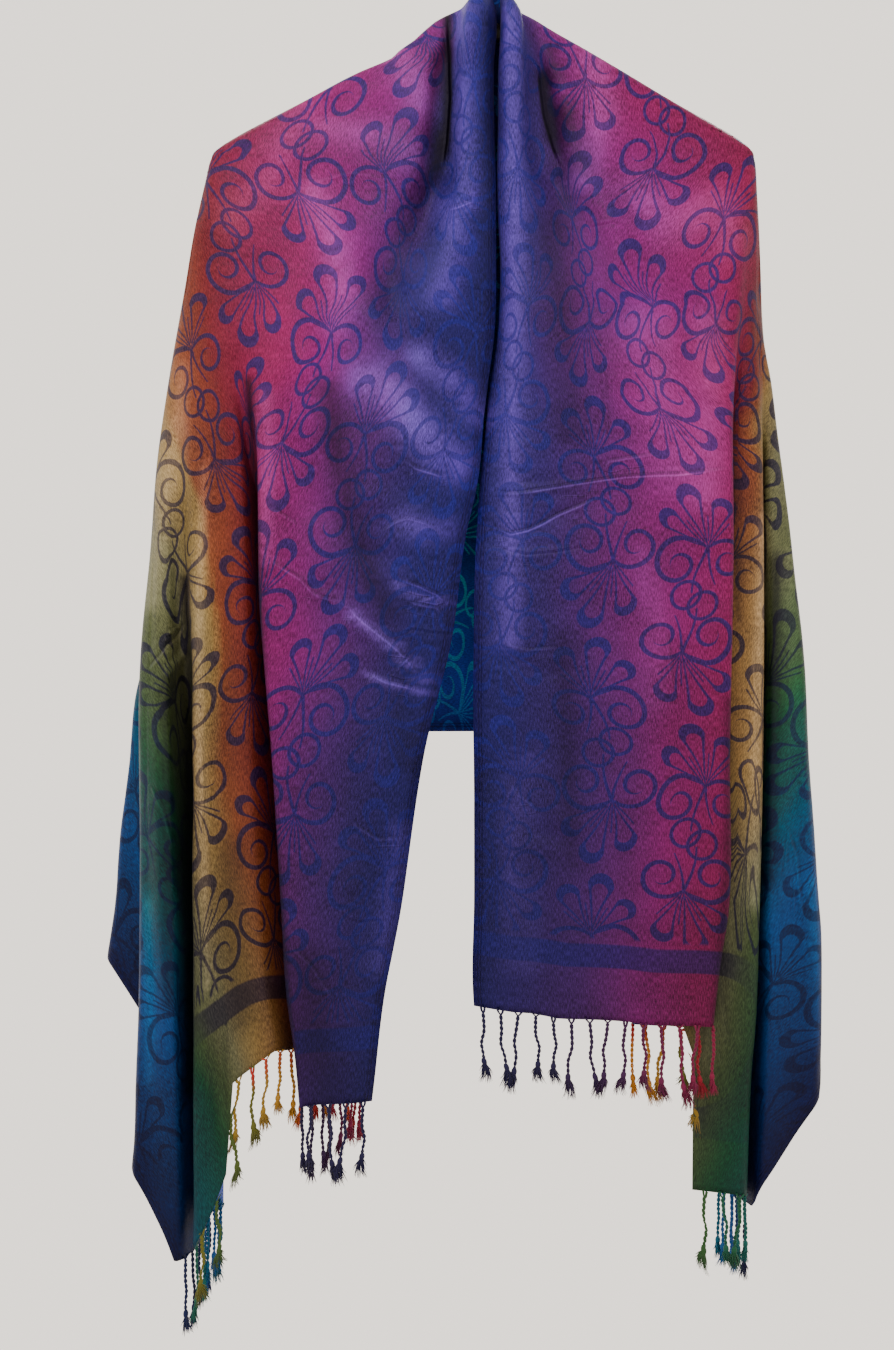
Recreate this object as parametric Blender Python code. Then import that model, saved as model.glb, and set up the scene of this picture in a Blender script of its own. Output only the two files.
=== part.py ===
"""A fringed pashmina scarf hung round a clothes hanger, its two ends falling in front like a shawl.

The cloth is one sheet. It goes over the hanger's arms, hangs flat at the back, and turns a
quarter round each arm's tip, where the spare cloth stands in deep folds. Each half is drawn as
the fold lines of the real thing: a line has a short table of its places on the way down. A
level's section runs through the lines from the centre edge, round the side, to the centre back.
Tables are in millimetres: below the hanger's apex, across (to the viewer's right), and back
(away from the viewer). The model is in metres, with +Z up and its front towards -Y.
"""

import math
from collections import namedtuple

import bmesh
import bpy
import numpy as np
from mathutils import Vector

MM = 0.001

# The cloth as it was cut and woven
CLOTH_WIDTH = 700.0
WALL = 1.4
SEAM = 0.3
FRINGE_LENGTH = 58.0
FRINGE_SPACING = 14.0

STRIP_GAP = 0.75
STRIP_HEIGHT = 4.5
ROOT_WIDTH = 2.4
FRINGE_CLEAR = 4.6
# A strand's rings: how far down it, half its width there, and its share of the sideways lean
STRAND_RINGS = ((0.12, 1.1, 0.2), (0.5, 1.0, 1.0), (0.62, 2.1, 0.9), (0.72, 1.2, 0.7), (1.0, 1.9, 0.5))

# The hanger
SEAT_ABOVE_APEX = 58.0
ARM_RADIUS = 6.0
ARM_DROP = 0.509
ARM_REACH = 207.0
ARM_AXIS_BELOW = 20.0
NECK_RADIUS = 8.0
NECK_ROUNDING = 6.0
HOOK_RADIUS = 17.0
WIRE_RADIUS = 1.8
HOOK_STEM = ((0, 11.5), (0, -8), (0, -16), (0.5, -19.5), (2.1, -21.9))

# How the cloth lies on the hanger
CLOTH_SHIFT = 3.5
OVER_ARM = 7.6
OVER_ARM_ACROSS = 15.0
TIP_BELOW = 116.0
TIP_FROM_EDGE = 240.0
NECK_FROM_EDGE = 126.0
NECK_BELOW = 12.0
SHOULDER = 215.0
# The share of the quarter turn that the cloth has made at each outline and at the left's flap
LEFT_TURN = math.radians(35)
FLAP_TURN = math.radians(46)
RIGHT_TURN = math.radians(38)

# How finely the sections and walls are drawn. Columns of the wall leave the crest at each fold
# line, and at these shares of the way to the next one.
LEVEL_STEP = 5.0
SOFTNESS = 4.0
TURN_SHARE = 0.14
COLUMN_SHARES = {
    "centre edge": (0,),
    "collar": (0, 0.3, 0.65),
    "neck recess": (0, 0.2, 0.75),
    "brow": (0, 0.2, 0.6),
    "shoulder": (0, 0.5, 0.86),
    "front fold": (0, 0.14, 0.5, 0.84),
    "front tuck": (0, 0.14, 0.5, 0.86),
    "gold": (0, 0.3),
    "gold trough": (0, 0.6),
    "gold edge": (0, 0.14, 0.5, 0.84),
    "olive": (0, 0.14, 0.5, 0.84),
    "side recess": (0, 0.14, 0.5, 0.86),
    "green": (0, 0.4),
    "outer column": (0, 0.4),
    "green face": (0, 0.4, 0.8),
    "outer face": (0, 0.4, 0.8),
}
ROUNDING_ROWS = (0.0, 1.3, 4.3, 9.0)
ROWS_BELOW = 12
ROW_POWER = 1.25
SPARE_WEIGHT = 12.0

# A fold line: how wide its turn is, the levels between which the cloth beside it is spare and
# hidden, the level where it leaves the crest, and its places below that
FoldLine = namedtuple("FoldLine", "name turn spare starts rows")

LEFT_CREST = [
    # below, across
    (-18, -8.5), (-10, -10), (-2, -12.5), (4, -18), (9, -29), (16, -42), (28, -55), (38, -69),
    (45, -77), (52, -94), (60, -111), (77, -142.5), (97, -179), (105, -194),
    (113, -208.5), (118, -216), (124, -219.5), (145, -224),
    (174, -230.7), (227, -239), (269, -245.7), (348, -259), (424, -265), (506, -272.5),
    (669, -273), (883, -276.5), (921, -279), (1000, -284),
]
RIGHT_CREST = [
    (-18, 4.5), (-10, 8.5), (-2, 14.5), (5.5, 21), (12.6, 36), (23, 53), (36, 76), (57, 111.5),
    (81, 151.5), (98, 180), (113, 205), (118, 210.5), (124, 212.3), (145, 213.5), (210, 216.5),
    (267, 218), (298, 224), (348, 230.7), (398, 237), (443, 241.7), (494, 247), (594, 252.8),
    (709, 260), (733, 261.5), (851, 260.7), (1000, 262),
]

LEFT_LINES = [
    FoldLine("centre edge", 0, None, -18, [
        (-10, -4, -12), (0, 3.5, -17), (60, 4.5, -19), (136, 5.8, -22), (258, 5.8, -28),
        (318, -1.5, -31), (381, -8, -33), (423, -17, -34), (503, -28, -36), (594, -50, -38),
        (709, -67, -40), (780, -80, -40), (870, -91, -40)]),
    FoldLine("collar", 14, None, -14, [
        (0, -9, -25), (60, -12, -29), (136, -15, -31), (200, -24, -34), (260, -42, -38),
        (318, -60, -41), (503, -90, -46), (709, -112, -48), (870, -116, -47)]),
    FoldLine("neck recess", 8, (0, 250), 6, [
        (22, -26, -9), (40, -29, -9), (54, -31, -1), (90, -34, 5), (135, -40, 3),
        (170, -50, -9), (215, -68, -26), (260, -94, -35), (318, -115, -41), (503, -128, -46),
        (709, -133, -47), (870, -128, -46)]),
    FoldLine("brow", 8, None, 11, [
        (24, -37, -9.5), (50, -45, -13), (90, -51, -17), (135, -60, -20), (200, -92, -28),
        (260, -127, -35), (318, -145, -40), (503, -152, -45), (709, -147, -46),
        (870, -136, -45)]),
    FoldLine("shoulder", 0, None, 55, [
        (66, -96, -8.5), (90, -105, -9.5), (135, -130, -14), (200, -152, -23), (277, -171, -35),
        (350, -172, -41), (503, -165, -45), (709, -155, -46), (870, -142, -45)]),
    FoldLine("front fold", 8, None, 94, [
        (106, -176, -8), (135, -186, -11), (200, -190, -19), (277, -183, -32), (350, -178.5, -40),
        (423, -177.5, -43), (473, -176.5, -44), (534, -172, -45), (594, -167.5, -45),
        (709, -160.5, -45), (780, -156, -45), (826, -150, -44), (870, -146, -43)]),
    FoldLine("front tuck", 13, (280, 1000), 101, [
        (135, -200, -10), (200, -204, -16), (277, -197, -28), (350, -184, -24), (423, -166, -8),
        (553, -138, 20), (679, -116, 34), (840, -103, 40), (900, -102, 40)]),
    FoldLine("gold", 8, None, 107, [
        (135, -207, -9), (200, -213, -13), (277, -208, -25), (350, -197, -32), (423, -193, -34),
        (553, -190, -37), (679, -185, -37), (780, -176, -37), (826, -168, -36),
        (900, -166, -36)]),
    FoldLine("gold trough", 0, None, 112, [
        (135, -211, -8), (200, -219, -10), (277, -222, -18), (350, -214, -24), (423, -210, -26),
        (709, -208, -27), (826, -197, -29), (900, -190, -30), (1000, -190, -30)]),
    FoldLine("olive", 6, None, 117, [
        (135, -215, -6.5), (200, -225, -8), (277, -234, -13), (350, -231, -21), (423, -229, -26),
        (553, -228, -29), (709, -229, -30), (856, -229, -32), (1000, -228, -34)]),
    FoldLine("side recess", 10, (400, 1000), 126, [
        (200, -229.5, -5.5), (277, -240, -9), (350, -243, -12), (423, -242, -12),
        (503, -238, -3), (553, -233, 10), (620, -226, 27), (709, -220, 38), (820, -216, 40),
        (1000, -213, 36)]),
    FoldLine("green", 8, None, 138, [
        (200, -232.5, -3.5), (277, -243.5, -6), (350, -252, -9), (423, -255, -14),
        (503, -255, -18), (620, -252, -24), (709, -250, -26), (860, -245, -24),
        (1000, -240, -20)]),
    FoldLine("green face", 0, None, 152, [
        (200, -234.5, -1.8), (277, -245.5, -3), (350, -257, -4), (423, -262, -8),
        (503, -266, -12), (709, -265, -18), (860, -266, -17), (1000, -268, -16)]),
]
LEFT_BACK_LINES = [
    FoldLine("behind", 8, None, 150, [
        (200, -233, 6), (298, -249, 10), (424, -259, 13), (506, -265, 14),
        (553, -262, 17), (709, -253, 19), (820, -252, 19), (1000, -254, 18)]),
    FoldLine("blue flap", 8, None, 132, [
        (200, -228, 14), (298, -243, 21), (424, -258, 25), (506, -269, 28),
        (553, -280, 30), (604, -287, 33), (664, -292.5, 35), (709, -296.5, 36), (757, -302, 36),
        (820, -307, 36), (1000, -310, 36)]),
    FoldLine("flap back", 10, None, 116, [
        (140, -211, 10), (200, -216, 21), (298, -226, 33), (424, -236, 41), (553, -248, 48),
        (709, -258, 51), (1000, -262, 52)]),
    FoldLine("side flute", 12, None, 100, [
        (120, -188, 8.5), (200, -196, 17), (298, -203, 22), (424, -207, 30), (553, -211, 42),
        (709, -220, 52), (1000, -222, 54)]),
    FoldLine("side flute crest", 12, None, 82, [
        (105, -152, 8.5), (200, -166, 20), (298, -172, 31), (424, -176, 42), (576, -180, 54),
        (1000, -184, 58)]),
    FoldLine("back flute", 10, None, 62, [
        (90, -112, 8.5), (200, -132, 13), (298, -138, 16), (424, -142, 23), (576, -146, 34),
        (1000, -150, 40)]),
    FoldLine("back flute crest", 10, None, 40, [
        (60, -74, 8.5), (200, -98, 18), (298, -104, 25), (424, -108, 33), (576, -110, 40),
        (1000, -112, 44)]),
    FoldLine("neck flute", 0, None, 11, [
        (26, -36, 9.5), (200, -55, 12), (298, -60, 14), (424, -66, 18), (576, -70, 24),
        (1000, -72, 28)]),
    FoldLine("centre back", 0, None, -18, [
        (0, -1, 11), (60, -1, 12), (200, -2, 17), (424, -2, 27), (576, -2, 34), (1000, -2, 36)]),
]

RIGHT_LINES = [
    FoldLine("centre edge", 0, None, -18, [
        (-8, 9, -13), (0, 10.5, -16), (60, 9, -18), (136, 8.3, -20), (258, 8.8, -24),
        (307, 2, -26), (358, -3, -28), (393, -6.5, -29), (440, -9.5, -30), (709, -10.5, -33),
        (770, -11.5, -33), (820, -8, -33)]),
    FoldLine("collar", 14, None, -14, [
        (0, 17, -23), (60, 20, -28), (136, 21, -29), (200, 25, -31), (260, 36, -35),
        (318, 44, -38), (503, 52, -43), (820, 54, -43)]),
    FoldLine("neck recess", 8, (0, 240), 9, [
        (30, 33, -9), (48, 37, -9), (62, 40, -2), (80, 42, 5), (115, 46, 4), (150, 56, -8),
        (200, 76, -23), (260, 92, -33), (318, 98, -39), (503, 105, -44), (820, 105, -44)]),
    FoldLine("brow", 8, None, 15, [
        (34, 47, -10), (60, 55, -14), (90, 62, -17), (135, 74, -20), (200, 106, -28),
        (260, 127, -33), (318, 136, -39), (503, 145, -44), (820, 143, -44)]),
    FoldLine("shoulder", 0, None, 60, [
        (74, 117, -8.5), (100, 124, -10), (135, 138, -14), (200, 152, -22), (260, 165, -29),
        (318, 171, -37), (503, 172, -43), (820, 163, -43)]),
    FoldLine("front fold", 8, None, 101, [
        (114, 188, -8), (150, 198, -12), (183, 197, -18), (260, 193.5, -28), (318, 190.5, -37),
        (434, 190.5, -42), (594, 187.5, -44), (709, 187, -44), (758, 180, -43), (820, 173, -42)]),
    FoldLine("front tuck", 13, (270, 1000), 106, [
        (140, 203, -10), (183, 204, -13), (260, 199, -20), (318, 186, -24), (353, 168, -28),
        (434, 142, -32), (553, 122, -34), (680, 115, -35), (1000, 112, -35)]),
    FoldLine("gold", 8, None, 110.5, [
        (140, 207, -9), (183, 207.5, -10), (260, 205, -17), (318, 200, -24), (434, 197, -30),
        (680, 196, -32), (770, 186, -32), (801, 176, -31), (888, 164, -31), (936, 162, -31),
        (1000, 162, -31)]),
    FoldLine("gold edge", 8, None, 115, [
        (140, 210, -7), (183, 211, -7), (260, 210.5, -12), (318, 213, -19), (434, 215, -24),
        (594, 214.5, -26), (709, 212, -26), (797, 209, -26), (845, 205, -26), (1000, 200, -25)]),
    FoldLine("side recess", 10, (330, 1000), 124, [
        (183, 213, -5), (260, 213, -8), (318, 216.5, -10), (380, 214, 1),
        (434, 210, 13), (553, 203, 30), (709, 197, 40), (860, 192, 40), (1000, 188, 36)]),
    FoldLine("outer column", 8, None, 136, [
        (183, 214, -3), (260, 214.5, -5), (318, 220, -8), (434, 223.5, -12),
        (553, 223, -16), (709, 221.5, -18), (860, 218, -18), (1000, 210, -16)]),
    FoldLine("outer face", 0, None, 150, [
        (200, 215.5, -1.5), (260, 217, -2), (318, 225, -4), (434, 234, -8),
        (594, 241, -13), (709, 244, -14), (860, 243, -14), (1000, 240, -12)]),
]
RIGHT_BACK_LINES = [
    FoldLine("behind", 8, None, 148, [
        (200, 214.5, 7), (298, 220, 15), (424, 233, 22), (553, 242, 27),
        (709, 249, 33), (1000, 252, 36)]),
    FoldLine("side", 10, None, 120, [
        (145, 208, 9), (200, 208, 19), (298, 212, 31), (424, 220, 39), (553, 228, 47),
        (709, 236, 53), (1000, 240, 56)]),
    FoldLine("side flute", 12, None, 100, [
        (125, 184, 8.5), (200, 192, 16), (298, 196, 21), (424, 199, 29), (553, 201, 44),
        (709, 205, 54), (1000, 208, 56)]),
    FoldLine("side flute crest", 12, None, 80, [
        (105, 148, 8.5), (200, 160, 20), (298, 166, 32), (424, 168, 43), (576, 170, 55),
        (1000, 172, 60)]),
    FoldLine("back flute", 10, None, 58, [
        (90, 112, 8.5), (200, 128, 12), (298, 132, 15), (424, 134, 22), (576, 136, 34),
        (1000, 138, 42)]),
    FoldLine("back flute crest", 10, None, 38, [
        (60, 78, 8.5), (200, 92, 18), (298, 98, 26), (424, 100, 34), (576, 100, 41),
        (1000, 100, 44)]),
    FoldLine("neck flute", 0, None, 14, [
        (30, 44, 9.5), (200, 52, 12), (298, 56, 14), (424, 60, 18), (576, 62, 25),
        (1000, 62, 28)]),
    FoldLine("centre back", 0, None, -18, [
        (0, -1, 11), (60, -1, 12), (200, -2, 17), (424, -2, 27), (576, -2, 34), (1000, -2, 36)]),
]

# Where the cloth's ends hang: millimetres from the centre edge, measured across the cloth, and
# how far below the apex the end is there
LEFT_END = [
    (0, 862), (70, 868), (150, 856), (290, 826), (355, 824), (375, 836), (392, 846),
    (403, 855), (409, 880), (415, 906), (439, 940), (474, 978), (500, 966), (545, 946),
    (600, 962), (655, 982), (700, 991),
]
RIGHT_END = [
    (0, 790), (70, 798), (200, 806), (300, 802), (380, 806), (402, 850), (412, 895),
    (424, 932), (476, 938), (600, 944), (700, 949),
]

# A level's section: its knots' line indices and lengths along it, then its samples' lengths,
# places (across, back) and millimetres along the flat cloth
Section = namedtuple("Section", "knot_t knot_along along places flat")

# A half of the cloth: its fold lines in order, which of them are its outline and its flap, how
# far the cloth has turned there, and where its end hangs
Half = namedtuple("Half", "name lines outline crest outline_turn flap flap_turn end")


def smooth_between(rows, at):
    """The rows' values at a level, on a smooth curve through them and level beyond them."""
    table = np.array(rows, float)
    key, values = table[:, 0], table[:, 1:]
    if at <= key[0]:
        return values[0]
    if at >= key[-1]:
        return values[-1]
    i = int(np.searchsorted(key, at, side="right")) - 1
    step = key[i + 1] - key[i]
    slope = (values[i + 1] - values[i]) / step
    before = (values[i] - values[i - 1]) / (key[i] - key[i - 1]) if i > 0 else slope
    last = i + 2 >= len(key)
    after = slope if last else (values[i + 2] - values[i + 1]) / (key[i + 2] - key[i + 1])
    start, end = (before + slope) / 2, (slope + after) / 2
    f = (at - key[i]) / step
    return (
        values[i] * (1 + 2 * f) * (1 - f) ** 2
        + start * step * f * (1 - f) ** 2
        + values[i + 1] * f * f * (3 - 2 * f)
        + end * step * f * f * (f - 1)
    )


def crest_point(half, below):
    return np.array([smooth_between(half.crest, below)[0], 0.0])


def make_half(name, front, crest, back, outline_turn, flap_turn, end):
    """Puts the front lines, the outline and the back lines in order, each from the crest down."""
    outline = FoldLine("outline", 10, None, 170, [])
    lines = [*front, outline, *back]
    flap = len(front) + 2 if flap_turn else None
    half = Half(name, lines, len(front), crest, outline_turn, flap, flap_turn, end)
    started = []
    for line in lines:
        first = crest_point(half, line.starts)
        if line.name == "centre back":
            first = np.array([-1.0, 8.0])
        started.append(line._replace(rows=[(line.starts, *first), *line.rows]))
    return half._replace(lines=started)


def line_place(half, index, below):
    if index == half.outline:
        across = smooth_between(half.crest, below)[0]
        return np.array([across, min(0.0, -(below - 300) * 0.02)])
    return smooth_between(half.lines[index].rows, below)


def crest_index(half, below, back):
    """Where the crest at a level stands among the fold lines: between two that start around it."""
    count = len(half.lines)
    order = range(half.outline, count) if back else range(half.outline, -1, -1)
    order = list(order)
    for near, far in zip(order, order[1:]):
        high, low = half.lines[near].starts, half.lines[far].starts
        if below >= low:
            return near + (far - near) * (high - below) / (high - low)
    return float(order[-1])


def turned(points, widths):
    """The points of a section, each fold's turn opened to its width."""
    out = []
    for i, (t, place) in enumerate(points):
        width = widths[i]
        if width == 0 or i in (0, len(points) - 1):
            out.append((t, place))
            continue
        before, after = points[i - 1][1] - place, points[i + 1][1] - place
        to_before, to_after = np.linalg.norm(before), np.linalg.norm(after)
        across = before / max(to_before, 1e-6) - after / max(to_after, 1e-6)
        reach = min(width / 2, 0.35 * min(to_before, to_after))
        across = across / max(np.linalg.norm(across), 1e-6) * reach
        share_before = min(TURN_SHARE, 0.45 * (t - points[i - 1][0]))
        share_after = min(TURN_SHARE, 0.45 * (points[i + 1][0] - t))
        out += [(t - share_before, place + across), (t, place), (t + share_after, place - across)]
    return out


def softened(places):
    """The section at even steps of its length, with its corners rounded: the length up to each
    knot, the length up to each sample, and the samples."""
    long = np.concatenate([[0], np.cumsum(np.linalg.norm(np.diff(places, axis=0), axis=1))])
    softness = min(SOFTNESS, long[-1] / 12)
    at = np.linspace(0, long[-1], int(2 * long[-1] / softness) + 1)
    even = np.stack([np.interp(at, long, places[:, k]) for k in (0, 1)], axis=1)
    reach = int(3 * softness / at[1])
    kernel = np.exp(-0.5 * (np.arange(-reach, reach + 1) * at[1] / softness) ** 2)
    kernel /= kernel.sum()
    once = blurred(even, kernel)
    return long, at, 2 * once - blurred(once, kernel)


def blurred(line, kernel):
    """The line averaged along its length, with its two ends kept where they are."""
    pad = min(len(kernel) // 2, len(line) - 1)
    first = 2 * line[0] - line[pad:0:-1]
    last = 2 * line[-1] - line[-2:-2 - pad:-1]
    padded = np.concatenate([first, line, last])
    soft = np.stack([np.convolve(padded[:, k], kernel, "same") for k in (0, 1)], axis=1)
    return soft[pad:pad + len(line)]


def over_the_arm(half, below, front, places):
    """Opens the section near the crest to the round of the hanger's arm."""
    fade = min(1.0, max(0.0, (150 - below) / 14))
    if fade == 0:
        return places
    past_tip = min(4.0, max(0.0, (below - TIP_BELOW) * 0.6))
    inward = np.abs(places[:, 0] - crest_point(half, below)[0]) - past_tip
    share = np.clip(inward / OVER_ARM_ACROSS, 0, 1)
    depth = OVER_ARM * fade * np.sqrt(1 - (1 - share) ** 2)
    places[:, 1] = np.where(
        front, np.minimum(places[:, 1], -depth), np.maximum(places[:, 1], depth)
    )
    return places


def spread_out(places, start, end, spare):
    """How far along the flat cloth each sample is, with the spare cloth in the hidden folds."""
    step = np.linalg.norm(np.diff(places, axis=0), axis=1)
    weight = (spare[1:] + spare[:-1]) / 2
    extra = (end - start) - step.sum()
    grown = step * np.maximum(0.2, 1 + extra * weight / max((step * weight).sum(), 1e-6))
    along = np.concatenate([[0], np.cumsum(grown)])
    return start + along * (end - start) / max(along[-1], 1e-6)


def spare_weight(half, below, t):
    """The weight of each sample when the spare cloth is shared out: high beside a hidden fold."""
    weight = np.ones(len(t))
    for index, line in enumerate(half.lines):
        if line.spare and line.spare[0] < below < line.spare[1]:
            fade = min(1.0, (below - line.spare[0]) / 60, (line.spare[1] - below) / 60)
            near = np.abs(t - index) < 0.75
            weight = np.where(near, 1 + (SPARE_WEIGHT - 1) * fade, weight)
    return weight


def section(half, below):
    """One level of a half, from its centre edge round the side to the centre back."""
    stretches = []
    for back in (False, True):
        tip = min(max(crest_index(half, below, back), 0), len(half.lines) - 1)
        if below >= half.lines[half.outline].starts:
            tip = float(half.outline)
        if back:
            indices = [i for i in range(half.outline, len(half.lines)) if i > tip + 0.02]
            points = [(i, line_place(half, i, below)) for i in indices]
        else:
            indices = [i for i in range(half.outline + 1) if i < tip - 0.02]
            points = [(i, line_place(half, i, below)) for i in indices]
        widths = [half.lines[i].turn for i in indices]
        stretches.append((tip, points, widths))
    (front_tip, front, front_widths), (back_tip, rest, back_widths) = stretches
    if below < half.lines[half.outline].starts:
        crest = crest_point(half, below)
        points = [*front, (front_tip, crest), (back_tip, crest + [0, 0.01]), *rest]
        widths = [*front_widths, 0, 0, *back_widths]
    else:
        outline = (half.outline, line_place(half, half.outline, below))
        points = [*front, outline, *rest]
        widths = [*front_widths, half.lines[half.outline].turn, *back_widths]
    knots = turned(points, widths)
    knot_t = np.array([k[0] for k in knots])
    knot_along, along, places = softened(np.array([k[1] for k in knots]))
    anchors = flat_anchors(half, below)
    anchor_along = np.interp([index for index, _ in anchors], knot_t, knot_along)
    fuller = np.unique(np.concatenate([along, anchor_along]))
    places = np.stack([np.interp(fuller, along, places[:, k]) for k in (0, 1)], axis=1)
    places = over_the_arm(half, below, fuller < anchor_along[1] + 1e-9, places)
    t = np.interp(fuller, knot_along, knot_t)
    spare = spare_weight(half, below, t)
    flat = np.zeros(len(fuller))
    cuts = np.searchsorted(fuller, anchor_along)
    for (_, start), (_, end), a, b in zip(anchors, anchors[1:], cuts, cuts[1:]):
        if b > a:
            part = slice(a, b + 1)
            flat[part] = spread_out(places[part], start, end, spare[part])
    return Section(knot_t, knot_along, fuller, places, flat)


def at_index(cut, t):
    """Across, back and millimetres along the cloth, at line indices of a section."""
    along = np.interp(t, cut.knot_t, cut.knot_along)
    values = (cut.places[:, 0], cut.places[:, 1], cut.flat)
    return [np.interp(along, cut.along, value) for value in values]


def flat_anchors(half, below):
    """Line indices at which a level's place on the flat cloth is known, from the centre edge."""
    radius = below - TIP_BELOW
    last = len(half.lines) - 1
    if radius <= 0:
        at_crest = np.interp(below, (-18, NECK_BELOW, TIP_BELOW), (0, NECK_FROM_EDGE, TIP_FROM_EDGE))
        over = abs(crest_point(half, below)[0])
        return [(0, 0.0), (half.outline, at_crest), (last, at_crest + over)]
    anchors = [(0, 0.0), (half.outline, TIP_FROM_EDGE + radius * half.outline_turn)]
    if half.flap:
        anchors.append((half.flap, TIP_FROM_EDGE + radius * half.flap_turn))
    return [*anchors, (last, TIP_FROM_EDGE + radius * math.pi / 2 + SHOULDER)]


def across_cloth(flat, below):
    """How far a place is from the centre edge, square to it, from its place on a level line."""
    radius = np.maximum(below - TIP_BELOW, 1e-6)
    angle = np.clip((flat - TIP_FROM_EDGE) / radius, 0, math.pi / 2)
    turned_part = TIP_FROM_EDGE + radius * np.sin(angle)
    return np.where(flat <= TIP_FROM_EDGE, flat, turned_part)


def level_grid(half):
    """Sections at even levels, as grids over (level, line index)."""
    levels = np.arange(-18.0, 1000.0, LEVEL_STEP)
    index = np.linspace(0, len(half.lines) - 1, 12 * (len(half.lines) - 1) + 1)
    across, back, flat = (np.zeros((len(levels), len(index))) for _ in range(3))
    for row, below in enumerate(levels):
        across[row], back[row], flat[row] = at_index(section(half, below), index)
    return levels, index, across, back, flat


def end_level(half, grid, t):
    """How far down a column goes: to the cloth's end or to its outer selvage."""
    levels, index, _, _, flat = grid
    ends = np.array(half.end, float)
    previous = None
    for row, below in enumerate(levels):
        if below < 400:
            continue
        along = float(np.interp(t, index, flat[row]))
        width = float(across_cloth(along, below))
        over_end = below - np.interp(width, ends[:, 0], ends[:, 1])
        over_hem = width - CLOTH_WIDTH if along > TIP_FROM_EDGE else -1.0
        over = max(over_end, over_hem)
        if over >= 0:
            share = 0 if previous is None else previous / (previous - over)
            return below - LEVEL_STEP * (1 - share)
        previous = over
    return levels[-1]


def column_indices(half, back):
    """The line indices of the columns on one side of the crest, matched to the other side's."""
    starts = crest_levels(half)
    out = []
    for below in starts:
        if not back and below <= half.lines[0].starts:
            out.append(0.0)
        elif back and below <= half.lines[0].starts:
            out.append(float(len(half.lines) - 1))
        else:
            out.append(crest_index(half, below, back))
    return out


def crest_levels(half):
    """The levels where columns leave the crest, at each fold line and within each fold's turn."""
    levels = set()
    for index in range(half.outline):
        high, low = half.lines[index + 1].starts, half.lines[index].starts
        shares = COLUMN_SHARES[half.lines[index].name]
        levels |= {low + (high - low) * share for share in shares}
    levels.add(half.lines[half.outline].starts)
    return sorted(levels)


def place(across, back, below):
    """A point of the model, from its table sizes."""
    return Vector(((across + CLOTH_SHIFT) * MM, back * MM, -(below + SEAT_ABOVE_APEX) * MM))


def on_level(half, grid, t, below, close):
    """Where the cloth is at a line index and level: from the grid, or close to the crest from
    the section itself."""
    if t > len(half.lines) - 1.01:
        x, y = line_place(half, len(half.lines) - 1, below)
    elif close:
        x, y, _ = at_index(section(half, below), t)
    else:
        levels, index, across, back, _ = grid
        at = (below - levels[0]) / LEVEL_STEP
        low = min(max(int(at), 0), len(levels) - 2)
        f = at - low
        x, y = (
            (1 - f) * np.interp(t, index, g[low]) + f * np.interp(t, index, g[low + 1])
            for g in (across, back)
        )
    return place(float(x), float(y), float(below))


def wall_normal(half, grid, t, below, close):
    """Square to the cloth: from a short step along its section and one down a fold line."""
    if t > len(half.lines) - 1.01:
        return Vector((0, 1, 0))
    if close:
        cut = section(half, below)
        middle = np.interp(t, cut.knot_t, cut.knot_along)
        steps = np.array([max(middle - 0.8, 0), min(middle + 0.8, cut.along[-1])])
        (x0, x1), (y0, y1) = (np.interp(steps, cut.along, cut.places[:, k]) for k in (0, 1))
        along = Vector((x1 - x0, y1 - y0, 0))
    else:
        before, after = max(t - 0.04, 0), min(t + 0.04, len(half.lines) - 1)
        along = on_level(half, grid, after, below, close) - on_level(half, grid, before, below, close)
    down = on_level(half, grid, t, below + 2, close) - on_level(half, grid, t, below, close)
    normal = along.cross(down)
    return normal.normalized() if half.name == "left" else -normal.normalized()


def column_points(half, grid, t, starts):
    """The middle of the wall down one column, from the crest to where it ends, each point with
    its normal. A point on the crest above the arm's tip has none yet."""
    ends = end_level(half, grid, t)
    steep = 1 + 2 * min(1.0, max(0.0, (starts - TIP_BELOW + 4) / 12))
    rounding = [starts + offset * steep for offset in ROUNDING_ROWS]
    rest = np.linspace(0, 1, ROWS_BELOW + 1)[1:] ** ROW_POWER
    below_list = rounding + [rounding[-1] + (ends - rounding[-1]) * f for f in rest]
    out = []
    for row, below in enumerate(below_list):
        close = row < len(ROUNDING_ROWS)
        on_crest = row == 0 and below < TIP_BELOW + 8 and t < len(half.lines) - 1.01
        if on_crest:
            nose = at_index(section(half, below), t)[0]
            share = min(1.0, max(0.0, (below - TIP_BELOW + 4) / 12))
            x = crest_point(half, below)[0] * (1 - share) + nose * share
            out.append((place(float(x), 0, below), None))
        else:
            point = on_level(half, grid, t, below, close)
            out.append((point, wall_normal(half, grid, t, below, close)))
    return out


def half_surface(half):
    """The half's columns, front then back, each a list of points from the crest down."""
    grid = level_grid(half)
    levels = crest_levels(half)
    front_t, back_t = column_indices(half, False), column_indices(half, True)
    front = [column_points(half, grid, t, s) for t, s in zip(front_t, levels)]
    back = [column_points(half, grid, t, s) for t, s in zip(back_t[:-1], levels[:-1])]
    return front_t + back_t[-2::-1], front + back[::-1]


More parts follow.
